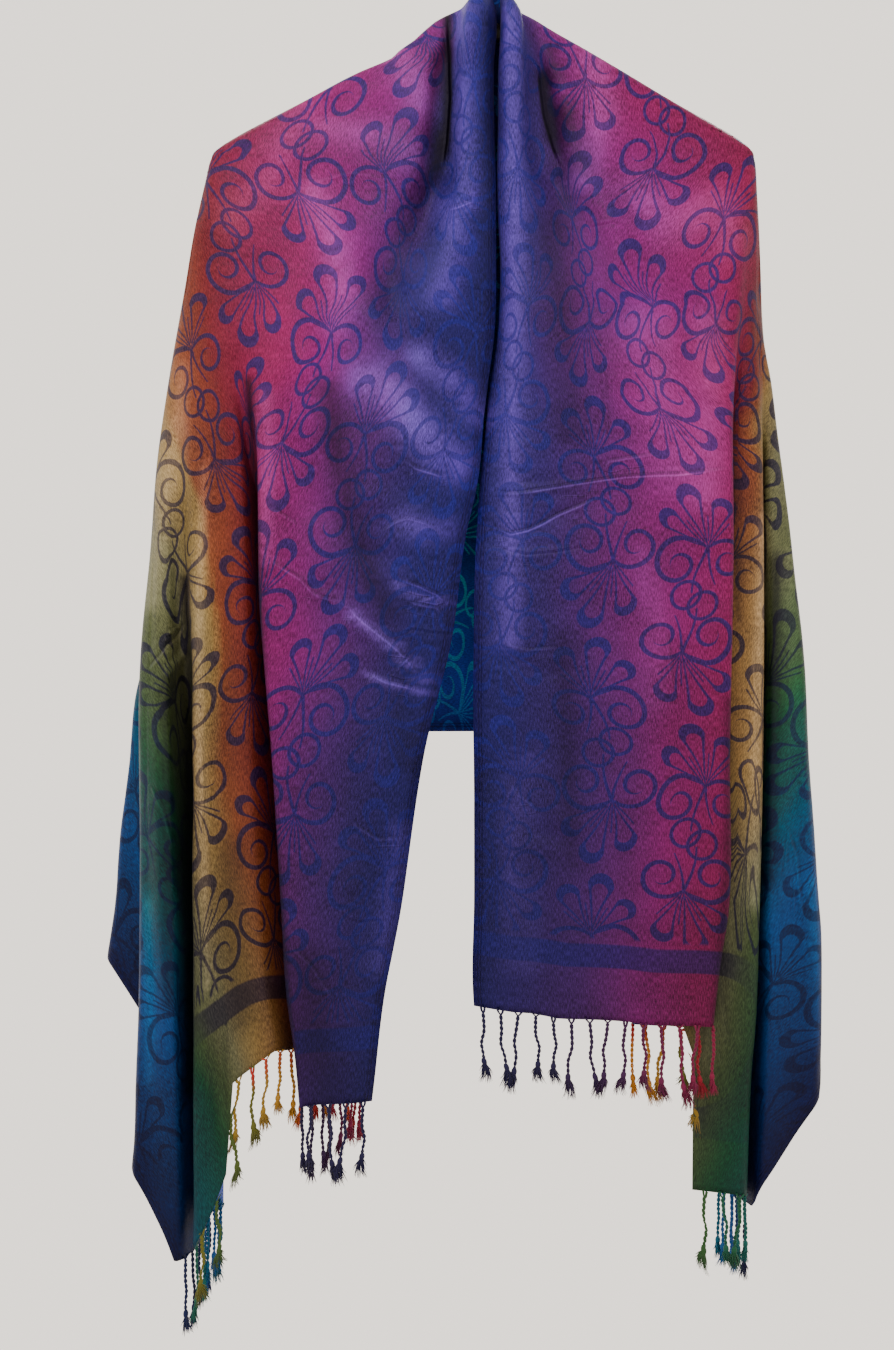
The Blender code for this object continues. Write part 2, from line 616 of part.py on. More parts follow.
def wall_sides(columns, left_count):
    """The outer and inner points of the wall, offset square to its middle surface."""
    count = len(columns)
    outer, inner = [], []
    for j in range(count):
        partner = left_count - 1 - j if j < left_count else left_count - 1 + count - 1 - j
        outer.append([])
        inner.append([])
        for i, (point, normal) in enumerate(columns[j]):
            if normal is None:
                right = columns[min(j + 1, count - 1)][i][0]
                left = columns[max(j - 1, 0)][i][0]
                normal = (right - left).cross(columns[j][1][0] - columns[partner][1][0])
            elif i == 0 and columns[partner][0][1] and partner not in (0, count - 1, j):
                normal = normal + columns[partner][0][1]
                point = (point + columns[partner][0][0]) / 2
            normal = normal.normalized()
            outer[j].append(point + normal * (WALL * MM / 2))
            inner[j].append(point - normal * (WALL * MM / 2))
    return outer, inner


def drawn_in(block, seams):
    """A block of columns with its edges at seams drawn in by half the seam's gap."""
    block = [list(column) for column in block]
    half_gap = SEAM * MM / 2

    def towards(a, b):
        step = b - a
        return a + step.normalized() * min(half_gap, step.length / 3) if step.length > 0 else a

    if "first" in seams:
        block[0] = [towards(a, b) for a, b in zip(block[0], block[1])]
    if "last" in seams:
        block[-1] = [towards(a, b) for a, b in zip(block[-1], block[-2])]
    if "top" in seams:
        for column in block:
            column[0] = towards(column[0], column[1])
    return block


def wall_object(name, outer, inner, material, zipped=False):
    """A closed wall between two grids of points. A zipped one goes over the crest: its first and
    last columns meet there, and so on inward to its middle column."""
    bm = bmesh.new()
    across, down = len(outer), len(outer[0])
    faces = [[bm.verts.new(p) for p in column] for column in outer]
    backs = [[bm.verts.new(p) for p in column] for column in inner]
    if zipped:
        for j in range(across // 2 + 1, across):
            for grid in (faces, backs):
                bm.verts.remove(grid[j][0])
                grid[j][0] = grid[across - 1 - j][0]
    for j in range(across - 1):
        for i in range(down - 1):
            bm.faces.new((faces[j][i], faces[j + 1][i], faces[j + 1][i + 1], faces[j][i + 1]))
            bm.faces.new((backs[j][i], backs[j][i + 1], backs[j + 1][i + 1], backs[j + 1][i]))
    rim = [(across - 1, i) for i in range(1, down)]
    rim += [(j, down - 1) for j in range(across - 2, -1, -1)]
    rim += [(0, i) for i in range(down - 2, -1, -1)]
    if not zipped:
        rim += [(j, 0) for j in range(1, across)]
    for (a, b), (c, d) in zip(rim, rim[1:] + rim[:1]):
        bm.faces.new((faces[a][b], backs[a][b], backs[c][d], faces[c][d]))
    return finish_mesh(name, bm, material)


def finish_mesh(name, bm, material):
    bmesh.ops.triangulate(bm, faces=bm.faces)
    bmesh.ops.recalc_face_normals(bm, faces=bm.faces)
    mesh = bpy.data.meshes.new(name)
    bm.to_mesh(mesh)
    bm.free()
    mesh.shade_smooth()
    mesh.set_sharp_from_angle(angle=math.radians(50))
    mesh.materials.append(material)
    piece = bpy.data.objects.new(name, mesh)
    bpy.context.collection.objects.link(piece)
    return piece


def make_material(name, colour, roughness, metallic=0.0):
    material = bpy.data.materials.new(name)
    material.use_nodes = True
    shader = material.node_tree.nodes["Principled BSDF"]
    shader.inputs["Base Color"].default_value = (*colour, 1)
    shader.inputs["Roughness"].default_value = roughness
    shader.inputs["Metallic"].default_value = metallic
    return material


def clear_scene():
    for existing in list(bpy.data.objects):
        bpy.data.objects.remove(existing)


def whole_surface(left, right):
    """Both halves as one grid of columns, from the left centre edge round the back to the right
    one, with each column's half and line index."""
    left_t, left_columns = half_surface(left)
    right_t, right_columns = half_surface(right)
    marks = [(left, t) for t in left_t] + [(right, t) for t in right_t[-2::-1]]
    return marks, left_columns + right_columns[-2::-1], len(left_t)


def column_at(marks, half, line_name):
    """The column that runs down a fold line."""
    target = [line.name for line in half.lines].index(line_name)
    return min(
        (j for j, (owner, _) in enumerate(marks) if owner is half),
        key=lambda j: abs(marks[j][1] - target),
    )


def make_cloth(left, right, materials):
    """The walls, parted where one stretch of the cloth ends and the next begins."""
    marks, columns, left_count = whole_surface(left, right)
    outer, inner = wall_sides(columns, left_count)
    left_tuck = column_at(marks, left, "front tuck")
    right_tuck = column_at(marks, right, "front tuck")
    left_behind = left_count - 1 - left_tuck
    right_behind = left_count - 1 + len(marks) - 1 - right_tuck
    stretches = [
        ("left_front", 0, left_tuck, ("last", "top")),
        ("left_side", left_tuck, left_behind, ("first", "last")),
        ("back", left_behind, right_behind, ("first", "last", "top")),
        ("right_side", right_behind, right_tuck, ("first", "last")),
        ("right_front", right_tuck, len(marks) - 1, ("first", "top")),
    ]
    for name, start, end, seams in stretches:
        block = slice(start, end + 1)
        wall_object(
            f"cloth_{name}", drawn_in(outer[block], seams), drawn_in(inner[block], seams),
            materials[name], zipped="top" not in seams,
        )
    return marks, outer, inner


def end_edge(marks, half, columns_out, columns_in):
    """The bottom corners of the wall along a half's fringed end, from the centre edge outward."""
    corner = corner_index(half)
    order = [j for j, (owner, t) in enumerate(marks) if owner is half and t <= corner]
    order.sort(key=lambda j: marks[j][1])
    return [(marks[j][1], columns_out[j][-1], columns_in[j][-1]) for j in order]


def corner_index(half):
    """The line index of the cloth's outer bottom corner, where its end meets its selvage."""
    below = half.end[-1][1]
    t = np.linspace(0, half.outline, 400)
    flat = at_index(section(half, below), t)[2]
    return float(np.interp(CLOTH_WIDTH, across_cloth(flat, below), t))


def fringe_roots(edge, taken):
    """Where the strands grow along an edge: (segment, share, share), clear of its corners and
    of the strands of the fold in front of it."""
    middles = [(o + i) / 2 for _, o, i in edge]
    lengths = [(b - a).length / MM for a, b in zip(middles, middles[1:])]
    starts = np.concatenate([[0], np.cumsum(lengths)])
    roots = []
    for along in np.arange(FRINGE_SPACING / 2, starts[-1] - 3, FRINGE_SPACING):
        free = [k for k, length in enumerate(lengths) if length > ROOT_WIDTH + 1.2]
        segment = min(
            free, key=lambda k: max(0, starts[k] - along) + max(0, along - starts[k + 1])
        )
        margin = ROOT_WIDTH / 2 + 0.5
        centre = min(max(along, starts[segment] + margin), starts[segment + 1] - margin)
        first = (centre - ROOT_WIDTH / 2 - starts[segment]) / lengths[segment]
        last = (centre + ROOT_WIDTH / 2 - starts[segment]) / lengths[segment]
        spot = middles[segment].lerp(middles[segment + 1], (first + last) / 2)
        apart = [(spot - other) / MM for other in taken]
        if any(abs(gap.y) < FRINGE_CLEAR and abs(gap.x) < 2 * FRINGE_CLEAR for gap in apart):
            continue
        taken.append(spot)
        roots.append((segment, first, last))
    return roots


def fringe_object(name, edge, material, seams, sway, taken):
    """A narrow strip under a stretch of the cloth's end, with a strand hanging from each root."""
    drop = Vector((0, 0, -MM))
    points, roots_at = [], []
    roots = fringe_roots(edge, taken)
    for k in range(len(edge)):
        points.append((edge[k][1], edge[k][2]))
        for segment, first, last in roots:
            if segment == k:
                roots_at.append(len(points))
                for share in (first, last):
                    points.append(
                        tuple(edge[k][side].lerp(edge[k + 1][side], share) for side in (1, 2))
                    )
    if "first" in seams:
        points[0] = tuple(a.lerp(b, 0.1) for a, b in zip(points[0], points[1]))
    if "last" in seams:
        points[-1] = tuple(a.lerp(b, 0.1) for a, b in zip(points[-1], points[-2]))
    bm = bmesh.new()
    rings = []
    for out, back in points:
        top = [bm.verts.new(p + drop * STRIP_GAP) for p in (out, back)]
        low = [bm.verts.new(p + drop * (STRIP_GAP + STRIP_HEIGHT)) for p in (out, back)]
        rings.append((top[0], top[1], low[1], low[0]))
    for at, (a, b) in enumerate(zip(rings, rings[1:])):
        for k in (0, 1, 3) if at in roots_at else range(4):
            bm.faces.new((a[k], a[(k + 1) % 4], b[(k + 1) % 4], b[k]))
    bm.faces.new(rings[0])
    bm.faces.new(tuple(reversed(rings[-1])))
    for count, at in enumerate(roots_at):
        grow_strand(bm, rings[at], rings[at + 1], sway + count)
    return finish_mesh(name, bm, material)


def grow_strand(bm, left, right, count):
    """A cord of four sides from a root in the strip's underside: a twist, a knot and a tuft."""
    ring = [left[3], right[3], right[2], left[2]]
    middle = sum((v.co for v in ring), Vector()) / 4
    along = (ring[1].co - ring[0].co).normalized()
    outward = (ring[0].co - ring[3].co).normalized()
    lean = 1.6 * math.sin(2.1 * count) + 0.8 * math.sin(0.7 * count)
    length = FRINGE_LENGTH + 5 * math.sin(1.3 * count)
    for share, radius, bend in STRAND_RINGS:
        centre = middle + along * (lean * bend * MM) + Vector((0, 0, -length * share * MM))
        corners = [(-1, 1), (1, 1), (1, -1), (-1, -1)]
        fresh = [
            bm.verts.new(centre + (along * a + outward * b) * (radius * MM)) for a, b in corners
        ]
        for k in range(4):
            bm.faces.new((ring[k], ring[(k + 1) % 4], fresh[(k + 1) % 4], fresh[k]))
        ring = fresh
    bm.faces.new(ring)


def make_fringe(half, marks, outer, inner, material):
    """The fringe of one end, in a strip for the front and one for the side folds."""
    edge = end_edge(marks, half, outer, inner)
    tuck = [line.name for line in half.lines].index("front tuck")
    cut = min(range(len(edge)), key=lambda k: abs(edge[k][0] - tuck))
    taken = []
    fringe_object(f"fringe_{half.name}_front", edge[:cut + 1], material, ("last",), 0, taken)
    fringe_object(f"fringe_{half.name}_side", edge[cut:], material, ("first",), 17, taken)


def tube_object(name, path, radii, sides, material):
    """A closed round bar along a path that stays in the plane of the hanger."""
    bm = bmesh.new()
    rings = []
    for k, (point, radius) in enumerate(zip(path, radii)):
        ahead = path[min(k + 1, len(path) - 1)] - path[max(k - 1, 0)]
        across = Vector((ahead.z, 0, -ahead.x)).normalized()
        ring = []
        for side in range(sides):
            angle = 2 * math.pi * side / sides
            away = across * math.cos(angle) + Vector((0, 1, 0)) * math.sin(angle)
            ring.append(bm.verts.new(point + away * radius))
        rings.append(ring)
    for a, b in zip(rings, rings[1:]):
        for k in range(sides):
            bm.faces.new((a[k], a[(k + 1) % sides], b[(k + 1) % sides], b[k]))
    bm.faces.new(rings[0])
    bm.faces.new(tuple(reversed(rings[-1])))
    return finish_mesh(name, bm, material)


def hanger_point(across, below):
    return Vector((across * MM, 0, -(below + SEAT_ABOVE_APEX) * MM))


def make_hanger(materials):
    """Two plain arms with a thicker neck between them, and a wire hook that stands in the neck."""
    tip = ARM_REACH - ARM_RADIUS
    half_arm = [
        (tip + ARM_RADIUS * share, max(ARM_RADIUS * math.sqrt(1 - share * share), 0.8))
        for share in (1.0, 0.93, 0.75, 0.5, 0.25, 0)
    ]
    half_arm += [(across, ARM_RADIUS) for across in (150, 100, 50, 26)]
    half_arm += [(13, 6.8), (5, NECK_RADIUS)]
    path, radii = [], []
    for across, radius in half_arm + [(0, NECK_RADIUS)] + [(-a, r) for a, r in half_arm[::-1]]:
        rounded = math.sqrt(across * across + NECK_ROUNDING ** 2) - NECK_ROUNDING
        path.append(hanger_point(across, ARM_AXIS_BELOW + ARM_DROP * rounded))
        radii.append(radius * MM)
    tube_object("hanger_arms", path, radii, 14, materials["arms"])
    centre = HOOK_RADIUS - SEAT_ABOVE_APEX
    bend = HOOK_RADIUS + WIRE_RADIUS
    hook = [hanger_point(*p) for p in HOOK_STEM]
    for step in range(16):
        angle = math.radians(-75 + step * 265 / 15)
        hook.append(hanger_point(bend * math.cos(angle), centre - bend * math.sin(angle)))
    tube_object("hanger_hook", hook, [WIRE_RADIUS * MM] * len(hook), 10, materials["hook"])


def main():
    clear_scene()
    materials = {
        "left_front": make_material("purple silk weave", (0.1, 0.06, 0.24), 0.45),
        "left_side": make_material("gold and olive weave", (0.32, 0.2, 0.07), 0.5),
        "back": make_material("navy and teal reverse", (0.02, 0.04, 0.12), 0.5),
        "right_side": make_material("orange and green weave", (0.3, 0.2, 0.07), 0.5),
        "right_front": make_material("magenta silk weave", (0.3, 0.05, 0.18), 0.45),
        "left_fringe": make_material("purple and green cord", (0.12, 0.1, 0.2), 0.7),
        "right_fringe": make_material("magenta and blue cord", (0.3, 0.08, 0.2), 0.7),
        "arms": make_material("plain beech", (0.52, 0.33, 0.17), 0.45),
        "hook": make_material("polished steel wire", (0.6, 0.6, 0.6), 0.25, 1.0),
    }
    left = make_half(
        "left", LEFT_LINES, LEFT_CREST, LEFT_BACK_LINES, LEFT_TURN, FLAP_TURN, LEFT_END
    )
    right = make_half(
        "right", RIGHT_LINES, RIGHT_CREST, RIGHT_BACK_LINES, RIGHT_TURN, None, RIGHT_END
    )
    marks, outer, inner = make_cloth(left, right, materials)
    make_fringe(left, marks, outer, inner, materials["left_fringe"])
    make_fringe(right, marks, outer, inner, materials["right_fringe"])
    make_hanger(materials)


main()
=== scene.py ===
import math
from collections import namedtuple

import bmesh
import bpy
import numpy as np
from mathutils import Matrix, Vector


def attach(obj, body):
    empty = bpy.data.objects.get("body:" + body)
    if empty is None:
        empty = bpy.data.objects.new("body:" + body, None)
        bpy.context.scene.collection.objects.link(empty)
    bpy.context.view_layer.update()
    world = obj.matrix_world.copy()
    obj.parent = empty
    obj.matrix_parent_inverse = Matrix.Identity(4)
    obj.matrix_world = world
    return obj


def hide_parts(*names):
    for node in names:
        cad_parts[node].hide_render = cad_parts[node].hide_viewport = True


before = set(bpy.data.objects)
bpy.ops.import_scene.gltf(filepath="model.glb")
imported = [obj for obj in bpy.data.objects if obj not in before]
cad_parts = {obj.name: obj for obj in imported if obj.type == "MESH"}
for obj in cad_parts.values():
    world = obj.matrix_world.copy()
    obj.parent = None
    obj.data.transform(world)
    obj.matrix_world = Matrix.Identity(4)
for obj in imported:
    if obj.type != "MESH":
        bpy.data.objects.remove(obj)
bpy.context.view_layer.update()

mm = 0.001
tiny = 1e-6                    # keeps divisions clear of zero
print("frame loaded:", len(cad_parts), "nodes")

# The cloth and the way it lies on the hanger, in millimetres, as in the solids. Heights are
# below the apex of the arms, and places are across from the middle, with back as plus.
clothSizes = {
    "width": 700.0,
    "halfLength": 925.0,       # from the centre back to where a fringe begins
    "hemThickness": 1.44,
    "clothShare": 0.6,         # the open cloth's thickness, as a share of the hem's
    "hemWidth": 8.0,           # from the selvage to where the rolled hem has thinned out
    "hemThins": 5.0,           # the last part of that
    "shift": 3.5,              # the apex's place across, in the frame
    "seatAboveApex": 58.0,     # from the hook's seat, the frame's origin, down to the apex
    "top": -18.0,              # the collars stand a little above the apex
    "lowest": 1000.0,
    "endsBelow": 400.0,        # no end or hem hangs above this
    "overArm": 7.6,            # how far the cloth stands off the arm's middle
    "overArmAcross": 15.0,     # and how far under the crest it does so
    "armEnds": 150.0,          # under this the cloth hangs clear of the arms
    "neckBelow": 12.0,         # the crest passes the neck and the tip at these heights,
    "tipBelow": 116.0,
    "neckFromEdge": 76.0,      # and at these lengths from the cloth's centre edge
    "tipFromEdge": 240.0,
    "alongArm": 212.0,         # the cloth's length from the centre back to the tip
    "shoulder": 215.0,         # its width from the side of the tip to the centre back
    "leftTurn": 35,            # degrees of the quarter turn made at each outline
    "flapTurn": 46,
    "rightTurn": 38,
    "levelStep": 5.0,          # between the sections that the surface is read from
    "softness": 4.0,           # of the folds, along a section
    "turnShare": 0.14,         # how much of the way to the next fold line a turn takes
    "spareWeight": 12.0,       # hidden folds take up this much more cloth
    "columns": 118,            # on one side of the crest of one half
    "rows": 190,
    "rounding": (0, 0.5, 1.3, 2.6, 4.3, 6.6, 9.5),  # the rows that turn over the arm
    "ripple": 1.0,             # depth of the cloth's slow unevenness
}

# A fold line: how wide its turn is, the levels between which the cloth beside it is spare and
# hidden, the level where it leaves the crest, and its places below that
FoldLine = namedtuple("FoldLine", "name turn spare starts rows")

leftCrest = [
    # below, across
    (-18, -8.5), (-10, -10), (-2, -12.5), (4, -18), (9, -29), (16, -42), (28, -55), (38, -69),
    (45, -77), (52, -94), (60, -111), (77, -142.5), (97, -179), (105, -194),
    (113, -208.5), (118, -216), (124, -219.5), (145, -224),
    (174, -230.7), (227, -239), (269, -245.7), (348, -259), (424, -265), (506, -272.5),
    (669, -273), (883, -276.5), (921, -279), (1000, -284),
]
rightCrest = [
    (-18, 4.5), (-10, 8.5), (-2, 14.5), (5.5, 21), (12.6, 36), (23, 53), (36, 76), (57, 111.5),
    (81, 151.5), (98, 180), (113, 205), (118, 210.5), (124, 212.3), (145, 213.5), (210, 216.5),
    (267, 218), (298, 224), (348, 230.7), (398, 237), (443, 241.7), (494, 247), (594, 252.8),
    (709, 260), (733, 261.5), (851, 260.7), (1000, 262),
]

leftLines = [
    FoldLine("centre edge", 0, None, -18, [
        (-10, -4, -12), (0, 3.5, -17), (60, 4.5, -19), (136, 5.8, -22), (258, 5.8, -28),
        (318, -1.5, -31), (381, -8, -33), (423, -17, -34), (503, -28, -36), (594, -50, -38),
        (709, -67, -40), (780, -80, -40), (870, -91, -40)]),
    FoldLine("collar", 14, None, -14, [
        (0, -9, -25), (60, -12, -29), (136, -15, -31), (200, -24, -34), (260, -42, -38),
        (318, -60, -41), (503, -90, -46), (709, -112, -48), (870, -116, -47)]),
    FoldLine("neck recess", 8, (0, 250), 6, [
        (22, -26, -9), (40, -29, -9), (54, -31, -1), (90, -34, 5), (135, -40, 3),
        (170, -50, -9), (215, -68, -26), (260, -94, -35), (318, -115, -41), (503, -128, -46),
        (709, -133, -47), (870, -128, -46)]),
    FoldLine("brow", 8, None, 11, [
        (24, -37, -9.5), (50, -45, -13), (90, -51, -17), (135, -60, -20), (200, -92, -28),
        (260, -127, -35), (318, -145, -40), (503, -152, -45), (709, -147, -46),
        (870, -136, -45)]),
    FoldLine("shoulder", 0, None, 55, [
        (66, -96, -8.5), (90, -105, -9.5), (135, -130, -14), (200, -152, -23), (277, -171, -35),
        (350, -172, -41), (503, -165, -45), (709, -155, -46), (870, -142, -45)]),
    FoldLine("front fold", 8, None, 94, [
        (106, -176, -8), (135, -186, -11), (200, -190, -19), (277, -183, -32), (350, -178.5, -40),
        (423, -177.5, -43), (473, -176.5, -44), (534, -172, -45), (594, -167.5, -45),
        (709, -160.5, -45), (780, -156, -45), (826, -150, -44), (870, -146, -43)]),
    FoldLine("front tuck", 13, (280, 1000), 101, [
        (135, -200, -10), (200, -204, -16), (277, -197, -28), (350, -184, -24), (423, -166, -8),
        (553, -138, 20), (679, -116, 34), (840, -103, 40), (900, -102, 40)]),
    FoldLine("gold", 8, None, 107, [
        (135, -207, -9), (200, -213, -13), (277, -208, -25), (350, -197, -32), (423, -193, -34),
        (553, -190, -37), (679, -185, -37), (780, -176, -37), (826, -168, -36),
        (900, -166, -36)]),
    FoldLine("gold trough", 0, None, 112, [
        (135, -211, -8), (200, -219, -10), (277, -222, -18), (350, -214, -24), (423, -210, -26),
        (709, -208, -27), (826, -197, -29), (900, -190, -30), (1000, -190, -30)]),
    FoldLine("olive", 6, None, 117, [
        (135, -215, -6.5), (200, -225, -8), (277, -234, -13), (350, -231, -21), (423, -229, -26),
        (553, -228, -29), (709, -229, -30), (856, -229, -32), (1000, -228, -34)]),
    FoldLine("side recess", 10, (400, 1000), 126, [
        (200, -229.5, -5.5), (277, -240, -9), (350, -243, -12), (423, -242, -12),
        (503, -238, -3), (553, -233, 10), (620, -226, 27), (709, -220, 38), (820, -216, 40),
        (1000, -213, 36)]),
    FoldLine("green", 8, None, 138, [
        (200, -232.5, -3.5), (277, -243.5, -6), (350, -252, -9), (423, -255, -14),
        (503, -255, -18), (620, -252, -24), (709, -250, -26), (860, -245, -24),
        (1000, -240, -20)]),
    FoldLine("green face", 0, None, 152, [
        (200, -234.5, -1.8), (277, -245.5, -3), (350, -257, -4), (423, -262, -8),
        (503, -266, -12), (709, -265, -18), (860, -266, -17), (1000, -268, -16)]),
]
leftBackLines = [
    FoldLine("behind", 8, None, 150, [
        (200, -233, 6), (298, -249, 10), (424, -259, 13), (506, -265, 14),
        (553, -262, 17), (709, -253, 19), (820, -252, 19), (1000, -254, 18)]),
    FoldLine("blue flap", 8, None, 132, [
        (200, -228, 14), (298, -243, 21), (424, -258, 25), (506, -269, 28),
        (553, -280, 30), (604, -287, 33), (664, -292.5, 35), (709, -296.5, 36), (757, -302, 36),
        (820, -307, 36), (1000, -310, 36)]),
    FoldLine("flap back", 10, None, 116, [
        (140, -211, 10), (200, -216, 21), (298, -226, 33), (424, -236, 41), (553, -248, 48),
        (709, -258, 51), (1000, -262, 52)]),
    FoldLine("side flute", 12, None, 100, [
        (120, -188, 8.5), (200, -196, 17), (298, -203, 22), (424, -207, 30), (553, -211, 42),
        (709, -220, 52), (1000, -222, 54)]),
    FoldLine("side flute crest", 12, None, 82, [
        (105, -152, 8.5), (200, -166, 20), (298, -172, 31), (424, -176, 42), (576, -180, 54),
        (1000, -184, 58)]),
    FoldLine("back flute", 10, None, 62, [
        (90, -112, 8.5), (200, -132, 13), (298, -138, 16), (424, -142, 23), (576, -146, 34),
        (1000, -150, 40)]),
    FoldLine("back flute crest", 10, None, 40, [
        (60, -74, 8.5), (200, -98, 18), (298, -104, 25), (424, -108, 33), (576, -110, 40),
        (1000, -112, 44)]),
    FoldLine("neck flute", 0, None, 11, [
        (26, -36, 9.5), (200, -55, 12), (298, -60, 14), (424, -66, 18), (576, -70, 24),
        (1000, -72, 28)]),
    FoldLine("centre back", 0, None, -18, [
        (0, -1, 11), (60, -1, 12), (200, -2, 17), (424, -2, 27), (576, -2, 34), (1000, -2, 36)]),
]

rightLines = [
    FoldLine("centre edge", 0, None, -18, [
        (-8, 9, -13), (0, 10.5, -16), (60, 9, -18), (136, 8.3, -20), (258, 8.8, -24),
        (307, 2, -26), (358, -3, -28), (393, -6.5, -29), (440, -9.5, -30), (709, -10.5, -33),
        (770, -11.5, -33), (820, -8, -33)]),
    FoldLine("collar", 14, None, -14, [
        (0, 17, -23), (60, 20, -28), (136, 21, -29), (200, 25, -31), (260, 36, -35),
        (318, 44, -38), (503, 52, -43), (820, 54, -43)]),
    FoldLine("neck recess", 8, (0, 240), 9, [
        (30, 33, -9), (48, 37, -9), (62, 40, -2), (80, 42, 5), (115, 46, 4), (150, 56, -8),
        (200, 76, -23), (260, 92, -33), (318, 98, -39), (503, 105, -44), (820, 105, -44)]),
    FoldLine("brow", 8, None, 15, [
        (34, 47, -10), (60, 55, -14), (90, 62, -17), (135, 74, -20), (200, 106, -28),
        (260, 127, -33), (318, 136, -39), (503, 145, -44), (820, 143, -44)]),
    FoldLine("shoulder", 0, None, 60, [
        (74, 117, -8.5), (100, 124, -10), (135, 138, -14), (200, 152, -22), (260, 165, -29),
        (318, 171, -37), (503, 172, -43), (820, 163, -43)]),
    FoldLine("front fold", 8, None, 101, [
        (114, 188, -8), (150, 198, -12), (183, 197, -18), (260, 193.5, -28), (318, 190.5, -37),
        (434, 190.5, -42), (594, 187.5, -44), (709, 187, -44), (758, 180, -43), (820, 173, -42)]),
    FoldLine("front tuck", 13, (270, 1000), 106, [
        (140, 203, -10), (183, 204, -13), (260, 199, -20), (318, 186, -24), (353, 168, -28),
        (434, 142, -32), (553, 122, -34), (680, 115, -35), (1000, 112, -35)]),
    FoldLine("gold", 8, None, 110.5, [
        (140, 207, -9), (183, 207.5, -10), (260, 205, -17), (318, 200, -24), (434, 197, -30),
        (680, 196, -32), (770, 186, -32), (801, 176, -31), (888, 164, -31), (936, 162, -31),
        (1000, 162, -31)]),
    FoldLine("gold edge", 8, None, 115, [
        (140, 210, -7), (183, 211, -7), (260, 210.5, -12), (318, 213, -19), (434, 215, -24),
        (594, 214.5, -26), (709, 212, -26), (797, 209, -26), (845, 205, -26), (1000, 200, -25)]),
    FoldLine("side recess", 10, (330, 1000), 124, [
        (183, 213, -5), (260, 213, -8), (318, 216.5, -10), (380, 214, 1),
        (434, 210, 13), (553, 203, 30), (709, 197, 40), (860, 192, 40), (1000, 188, 36)]),
    FoldLine("outer column", 8, None, 136, [
        (183, 214, -3), (260, 214.5, -5), (318, 220, -8), (434, 223.5, -12),
        (553, 223, -16), (709, 221.5, -18), (860, 218, -18), (1000, 210, -16)]),
    FoldLine("outer face", 0, None, 150, [
        (200, 215.5, -1.5), (260, 217, -2), (318, 225, -4), (434, 234, -8),
        (594, 241, -13), (709, 244, -14), (860, 243, -14), (1000, 240, -12)]),
]
rightBackLines = [
    FoldLine("behind", 8, None, 148, [
        (200, 214.5, 7), (298, 220, 15), (424, 233, 22), (553, 242, 27),
        (709, 249, 33), (1000, 252, 36)]),
    FoldLine("side", 10, None, 120, [
        (145, 208, 9), (200, 208, 19), (298, 212, 31), (424, 220, 39), (553, 228, 47),
        (709, 236, 53), (1000, 240, 56)]),
    FoldLine("side flute", 12, None, 100, [
        (125, 184, 8.5), (200, 192, 16), (298, 196, 21), (424, 199, 29), (553, 201, 44),
        (709, 205, 54), (1000, 208, 56)]),
    FoldLine("side flute crest", 12, None, 80, [
        (105, 148, 8.5), (200, 160, 20), (298, 166, 32), (424, 168, 43), (576, 170, 55),
        (1000, 172, 60)]),
    FoldLine("back flute", 10, None, 58, [
        (90, 112, 8.5), (200, 128, 12), (298, 132, 15), (424, 134, 22), (576, 136, 34),
        (1000, 138, 42)]),
    FoldLine("back flute crest", 10, None, 38, [
        (60, 78, 8.5), (200, 92, 18), (298, 98, 26), (424, 100, 34), (576, 100, 41),
        (1000, 100, 44)]),
    FoldLine("neck flute", 0, None, 14, [
        (30, 44, 9.5), (200, 52, 12), (298, 56, 14), (424, 60, 18), (576, 62, 25),
        (1000, 62, 28)]),
    FoldLine("centre back", 0, None, -18, [
        (0, -1, 11), (60, -1, 12), (200, -2, 17), (424, -2, 27), (576, -2, 34), (1000, -2, 36)]),
]

# Where the cloth's ends hang: millimetres from the centre edge, measured across the cloth, and
# how far below the apex the end is there
leftEnd = [
    (0, 862), (70, 868), (150, 856), (290, 826), (355, 824), (375, 836), (392, 846),
    (403, 855), (409, 880), (415, 906), (439, 940), (474, 978), (500, 966), (545, 946),
    (600, 962), (655, 982), (700, 991),
]
rightEnd = [
    (0, 790), (70, 798), (200, 806), (300, 802), (380, 806), (402, 850), (412, 895),
    (424, 932), (476, 938), (600, 944), (700, 949),
]

# A level's section: its knots' line indices and lengths along it, then its samples' lengths,
# places (across, back) and millimetres along the flat cloth
Section = namedtuple("Section", "knotT knotAlong along places flat")

# A half of the cloth: its fold lines in order, which of them are its outline and its flap, how
# far the cloth has turned there, and where its end hangs
Half = namedtuple("Half", "name lines outline crest outlineTurn flap flapTurn end")


def smoothBetween(rows, at):  # a table's values at a key, on a smooth curve through its rows
    table = np.array(rows, float)
    key, values = table[:, 0], table[:, 1:]
    if at <= key[0]:
        return values[0]
    if at >= key[-1]:
        return values[-1]
    i = int(np.searchsorted(key, at, side="right")) - 1
    step = key[i + 1] - key[i]
    slope = (values[i + 1] - values[i]) / step
    before = (values[i] - values[i - 1]) / (key[i] - key[i - 1]) if i > 0 else slope
    last = i + 2 >= len(key)
    after = slope if last else (values[i + 2] - values[i + 1]) / (key[i + 2] - key[i + 1])
    start, end = (before + slope) / 2, (slope + after) / 2
    f = (at - key[i]) / step
    return (
        values[i] * (1 + 2 * f) * (1 - f) ** 2
        + start * step * f * (1 - f) ** 2
        + values[i + 1] * f * f * (3 - 2 * f)
        + end * step * f * f * (f - 1)
    )


def crestPoint(half, below):  # where the cloth goes over the arm at a level: across and back
    return np.array([smoothBetween(half.crest, below)[0], 0.0])


def crestFlat(below):  # how far from the centre edge the crest is, along the cloth
    levels = (clothSizes["top"], clothSizes["neckBelow"], clothSizes["tipBelow"])
    return np.interp(below, levels, (0, clothSizes["neckFromEdge"], clothSizes["tipFromEdge"]))


